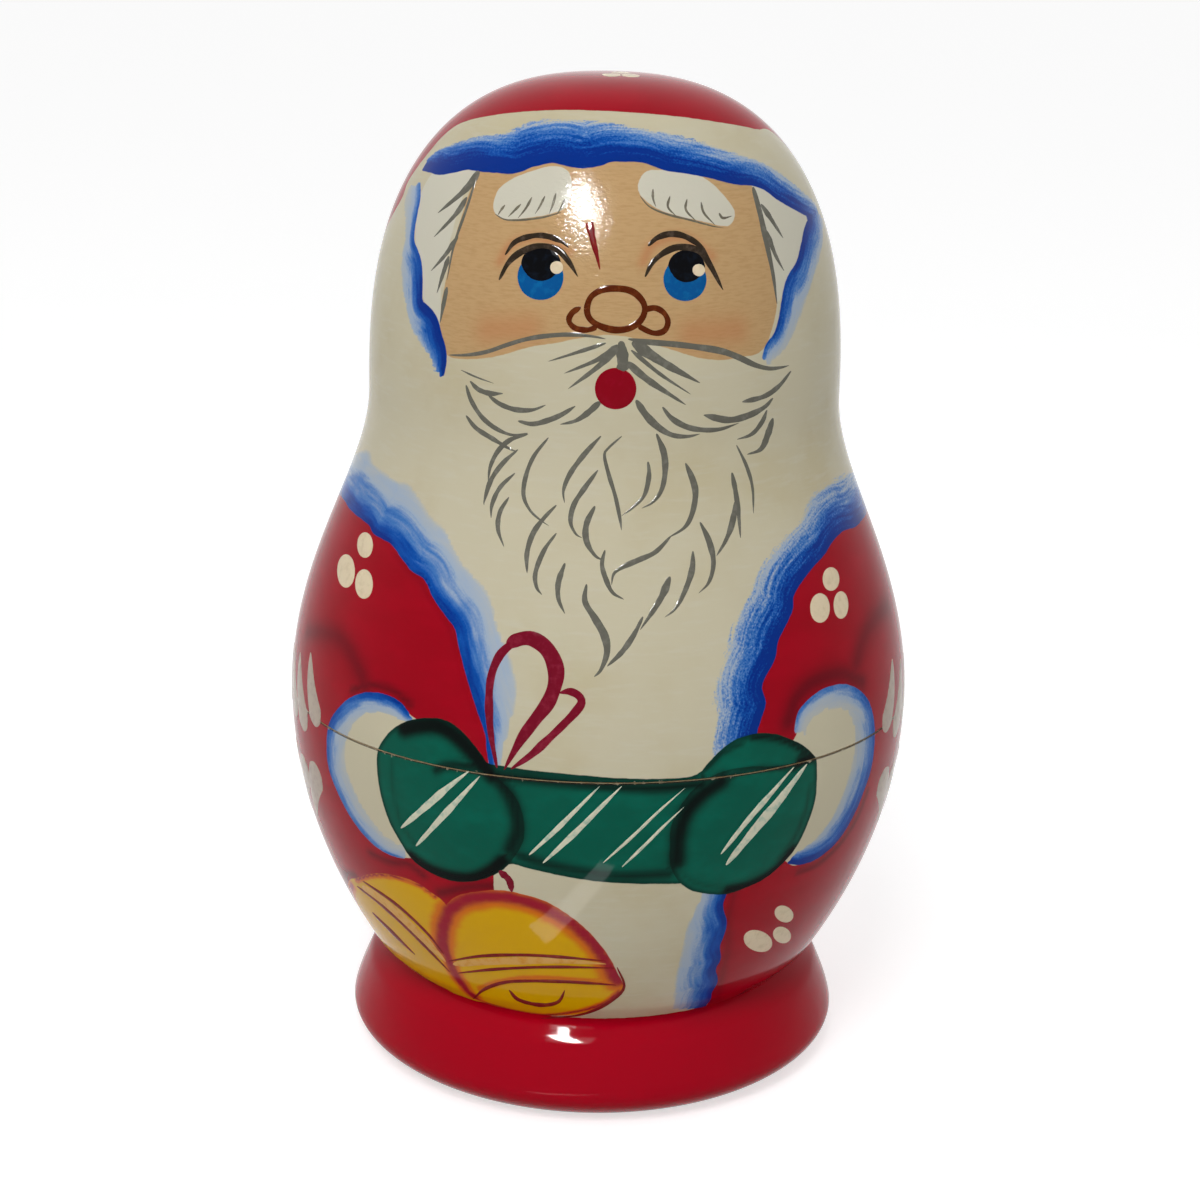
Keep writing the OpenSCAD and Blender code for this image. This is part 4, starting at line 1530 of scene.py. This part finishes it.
@dataclass
class Doll:
    """One doll of the set: the start of its nodes' names, steps around it, step up it, and if it is solid.

    It is turned in sectors, a power of two, and is sharp where faces meet at more than so many degrees.
    """

    name: str
    steps: int
    spacing: float
    solid: bool = False
    sectors: int = 16
    sharp: float = 38.0

    def __post_init__(self) -> None:
        """Reads the doll's size and seat from its solids."""
        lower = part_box(self.node(Half.WHOLE if self.solid else Half.BOTTOM))
        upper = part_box(self.node(Half.WHOLE if self.solid else Half.TOP))
        self.seat = lower[0][2] / MM
        self.scale = (upper[1][2] - lower[0][2]) / MM / OUTLINE.height

    def node(self, half: Half) -> str:
        """Name of the CAD node, and of the body, of one half."""
        return self.name if half is Half.WHOLE else f"{self.name}_{half.value}"

    def outside(self, half: Half) -> np.ndarray:
        """Painted part of a half's outline, from its lower edge up.

        Args:
            half: Which half.

        Returns:
            Rows of radius and height on the largest doll.
        """
        line = OUTLINE
        gap = self.seam_gap()
        if half is Half.WHOLE:
            return line.stretch(0.0, line.height, self.spacing)
        if half is Half.TOP:
            up = line.stretch(line.seam_h + gap + line.seam_break, line.height, self.spacing)
            return np.vstack([[line.radius(line.seam_h) - line.seam_break, line.seam_h + gap], up])
        up = line.stretch(0.0, line.seam_h - line.seam_break, self.spacing)
        return np.vstack([up, [line.radius(line.seam_h) - line.seam_break, line.seam_h]])

    def seam_gap(self) -> float:
        """Gap along the seam, measured on the largest doll."""
        return 0.0 if self.solid else OUTLINE.seam_gap / self.scale

    def inside(self, half: Half) -> np.ndarray:
        """Bare part of a half's outline, from the end of its painted part back to the axis or the rim.

        Args:
            half: Which half.

        Returns:
            Rows of radius and height on the largest doll.
        """
        line = OUTLINE
        seam_r = float(line.radius(line.seam_h))
        socket = seam_r - line.rim_wall
        spigot = socket - line.fit_gap / self.scale
        bore = spigot - line.spigot_wall
        top = line.seam_h + line.spigot_h
        r, h = line.points.T
        if half is Half.TOP:
            end = top + line.spigot_room / self.scale
            hollow = line.points[(h > end) & (h < line.neck_h)][:: -line.inside_skip] - (line.wall, 0.0)
            dome = line.crown(line.neck_r - line.wall, line.height - line.crown_wall)[:: -line.dome_skip]
            step = [[float(line.radius(end)) - line.wall, end], [socket, end]]
            rim = [socket, line.seam_h + self.seam_gap()]
            return np.vstack([[0.0, line.height - line.crown_wall], dome[1:], hollow, step, rim])
        low = line.floor_h + line.floor_fillet
        corner = float(line.radius(low)) - line.wall
        a = np.linspace(0, math.pi / 2, 7)
        fillet = np.c_[
            corner - line.floor_fillet * (1 - np.cos(a)),
            line.floor_h + line.floor_fillet * (1 - np.sin(a)),
        ]
        belly = line.points[(h > low) & (r - line.wall < bore) & (h < line.belly_h)][:: -line.inside_skip]
        lead = line.spigot_lead
        rim = [[spigot, line.seam_h], [spigot, top - lead], [spigot - lead, top], [bore, top]]
        rim.append([bore, belly[0, 1] + line.bore_step])
        return np.vstack([rim, belly - (line.wall, 0.0), fillet, [0.0, line.floor_h]])

    def shell(self, half: Half) -> bpy.types.Object:
        """Turns one half on the lathe and paints its outside.

        Args:
            half: Which half.

        Returns:
            The piece, riding on its body in place of its CAD node.
        """
        outer = self.outside(half)
        base = np.vstack([[[0.0, 0.0]], outer[:1]])
        if half is Half.TOP:
            bare = [np.vstack([self.inside(half), outer[:1]])]
        elif half is Half.BOTTOM:
            bare = [np.vstack([outer[-1:], self.inside(half)]), base]
        else:
            bare = [base]
        sector = math.tau / self.sectors
        bm = bmesh.new()
        for index, rows in [(0, outer), *[(1, b) for b in bare]]:
            rim = [bm.verts.new((0.0, -r, z)) for r, z in rows]
            edges = [bm.edges.new(pair) for pair in zip(rim[:-1], rim[1:])]
            done = len(bm.faces)
            bmesh.ops.spin(
                bm, geom=[*rim, *edges], axis=(0, 0, 1), cent=(0, 0, 0), steps=self.steps // self.sectors,
                angle=sector,
            )
            bm.faces.ensure_lookup_table()
            for f in bm.faces[done:]:
                f.material_index = index
        turned = 1
        while turned < self.sectors:
            twin = bmesh.ops.duplicate(bm, geom=[*bm.verts, *bm.edges, *bm.faces])["geom"]
            moved = [g for g in twin if isinstance(g, bmesh.types.BMVert)]
            bmesh.ops.rotate(bm, verts=moved, matrix=Matrix.Rotation(sector * turned, 3, "Z"))
            turned *= 2
        bmesh.ops.remove_doubles(bm, verts=bm.verts, dist=1e-4)
        bmesh.ops.recalc_face_normals(bm, faces=bm.faces)
        for f in bm.faces:
            f.smooth = True
        places = np.array([v.co for v in bm.verts])
        piece = piece_of(bm, f"{self.node(half)}_turned")
        mesh = piece.data
        for name, values in PAINTING.measure(places).items():
            mesh.attributes.new(name, "FLOAT", "POINT").data.foreach_set("value", values.astype(np.float32))
        mesh.transform(self.to_scene())
        mesh.materials.append(FINISH["painted"])
        mesh.materials.append(FINISH["bare"])
        mesh.set_sharp_from_angle(angle=math.radians(self.sharp))
        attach(piece, self.node(half))
        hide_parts(self.node(half))
        return piece

    def to_scene(self) -> Matrix:
        """Takes millimetres on the largest doll to metres in the scene."""
        return Matrix.Translation((0, 0, self.seat * MM)) @ Matrix.Scale(self.scale * MM, 4)

    def brushwork(self, half: Half, strokes: bmesh.types.BMesh) -> bpy.types.Object:
        """Gives one half its brush strokes, cut at the seam.

        Args:
            half: Which half.
            strokes: All strokes on the largest doll.

        Returns:
            The strokes, riding on the half's body.
        """
        bm = strokes.copy()
        if half is not Half.WHOLE:
            bmesh.ops.bisect_plane(
                bm, geom=[*bm.verts, *bm.edges, *bm.faces], dist=1e-5, plane_co=(0, 0, OUTLINE.seam_h),
                plane_no=(0, 0, 1), clear_inner=half is Half.TOP, clear_outer=half is Half.BOTTOM,
            )
        piece = piece_of(bm, f"{self.node(half)}_brushwork")
        piece.data.transform(self.to_scene())
        for paint in Paint:
            piece.data.materials.append(FINISH[paint.name])
        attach(piece, self.node(half))
        return piece


Point = tuple[float, float, float]


@dataclass(frozen=True)
class Studio:
    """White table, a room that is pale behind the doll and dim in front, and lamps, in metres and watts."""

    table: float = 12.0
    paper: str = "#DADADA"
    paper_fibre: str = "#D2D2D2"
    white: str = "#FFFFFF"
    paper_glow: float = 0.64
    dim: float = 0.38
    bright: float = 0.85
    window: Point = (-0.0907, -0.385, 0.462)
    window_faces: Point = (0.0, 0.0, 0.06)
    window_size: tuple[float, float] = (0.185, 0.235)
    window_watts: float = 1.5
    pane: Point = (-0.1017, -0.3598, 0.4837)
    pane_size: tuple[float, float] = (0.085, 0.2)
    pane_turn: float = 28.0
    pane_watts: float = 27.0
    glint: Point = (-0.004, -0.0545, 0.001)
    glint_size: tuple[float, float] = (0.006, 0.034)
    glint_watts: float = 0.006
    glint_turn: float = 30.0

    def floor(self) -> None:
        """Lays the table, lit up to white for what is seen straight on, in gloss or through glass."""
        bm = bmesh.new()
        bmesh.ops.create_grid(bm, x_segments=1, y_segments=1, size=self.table / 2)
        floor = piece_of(bm, "table_top")
        nodes = Shader("white_paper_sweep")
        fibre = nodes.noise(nodes.place(), 0.4, 2.0)
        colour = nodes.over(linear(self.paper), linear(self.paper_fibre), fibre)
        paper = nodes.add("BsdfDiffuse", {"Color": colour})
        glow = nodes.product(nodes.seen(), self.paper_glow)
        lit = nodes.add("Emission", {"Color": linear(self.white), "Strength": glow})
        nodes.show(nodes.add("AddShader", {0: paper, 1: lit}))
        floor.data.materials.append(nodes.material)

    def room(self) -> None:
        """Lights the room: pale behind the doll, dim on the camera's side, and white wherever it is seen."""
        world = bpy.data.worlds.new("white_backdrop_room")
        bpy.context.scene.world = world
        world.use_nodes = True
        nodes = Shader.of(world.node_tree)
        way = nodes.add("SeparateXYZ", {0: nodes.add("TexCoord", {}, "Generated")}, "Y")
        up = nodes.add("SeparateXYZ", {0: nodes.add("TexCoord", {}, "Generated")}, "Z")
        light = nodes.span(nodes.sum(way, up, -0.3), 0.1, 0.5, self.dim, self.bright)
        strength = nodes.larger(light, nodes.seen())
        backdrop = nodes.add("Background", {"Color": linear(self.white), "Strength": strength})
        nodes.show(backdrop, "OutputWorld")

    def lamp(
        self, name: str, place: Point, facing: Euler, size: tuple[float, float], watts: float, gloss: bool
    ) -> None:
        """Hangs a lamp.

        Args:
            name: Name of the lamp.
            place: Its middle.
            facing: How it is turned; unturned it shines down.
            size: Its width and height.
            watts: Light that it gives.
            gloss: Whether it shows in gloss alone, as a pane seen again in the varnish.
        """
        data = bpy.data.lights.new(name, "AREA")
        data.shape, data.size, data.size_y, data.energy = "RECTANGLE", *size, watts
        lamp = bpy.data.objects.new(name, data)
        lamp.location = place
        lamp.rotation_euler = facing
        lamp.visible_camera = False
        lamp.visible_diffuse = not gloss
        bpy.context.scene.collection.objects.link(lamp)

    def build(self) -> None:
        """Sets the table, the room, the window, its panes as the varnish shows them, and a glint."""
        self.floor()
        self.room()
        facing = (Vector(self.window_faces) - Vector(self.window)).to_track_quat("-Z", "Y").to_euler()
        self.lamp("window", self.window, facing, self.window_size, self.window_watts, False)
        turned = facing.to_quaternion() @ Euler((0.0, 0.0, math.radians(self.pane_turn))).to_quaternion()
        self.lamp("window_panes", self.pane, turned.to_euler(), self.pane_size, self.pane_watts, True)
        up = Euler((math.pi, 0.0, math.radians(self.glint_turn)))
        self.lamp("table_glint", self.glint, up, self.glint_size, self.glint_watts, True)


PAINTING = Painting()
FINISH: dict[str, bpy.types.Material] = {}
DOLLS = [
    ("outer_doll", 384, 0.5, False), ("second_doll", 256, 0.8, False), ("third_doll", 192, 1.0, False),
    ("fourth_doll", 160, 1.2, False), ("seed_doll", 128, 1.6, True),
]


def main() -> None:
    """Builds the set of dolls, the studio and the camera."""
    logging.basicConfig(level=logging.INFO, format="%(name)s: %(message)s")
    bpy.context.scene.view_settings.view_transform = "Standard"
    VIEW.camera()
    Studio().build()
    FINISH["painted"] = VarnishedPainting().material()
    FINISH["bare"] = TurnedLime().material()
    for paint in Paint:
        FINISH[paint.name] = BrushLoad(paint).material()
    strokes = Brushwork().build()
    for name, steps, spacing, solid in DOLLS:
        doll = Doll(name, steps, spacing, solid)
        for half in (Half.WHOLE,) if solid else (Half.BOTTOM, Half.TOP):
            for piece in (doll.shell(half), doll.brushwork(half, strokes)):
                log.info("%s: %d faces", piece.name, len(piece.data.polygons))
    strokes.free()


if __name__ == "__main__":
    main()
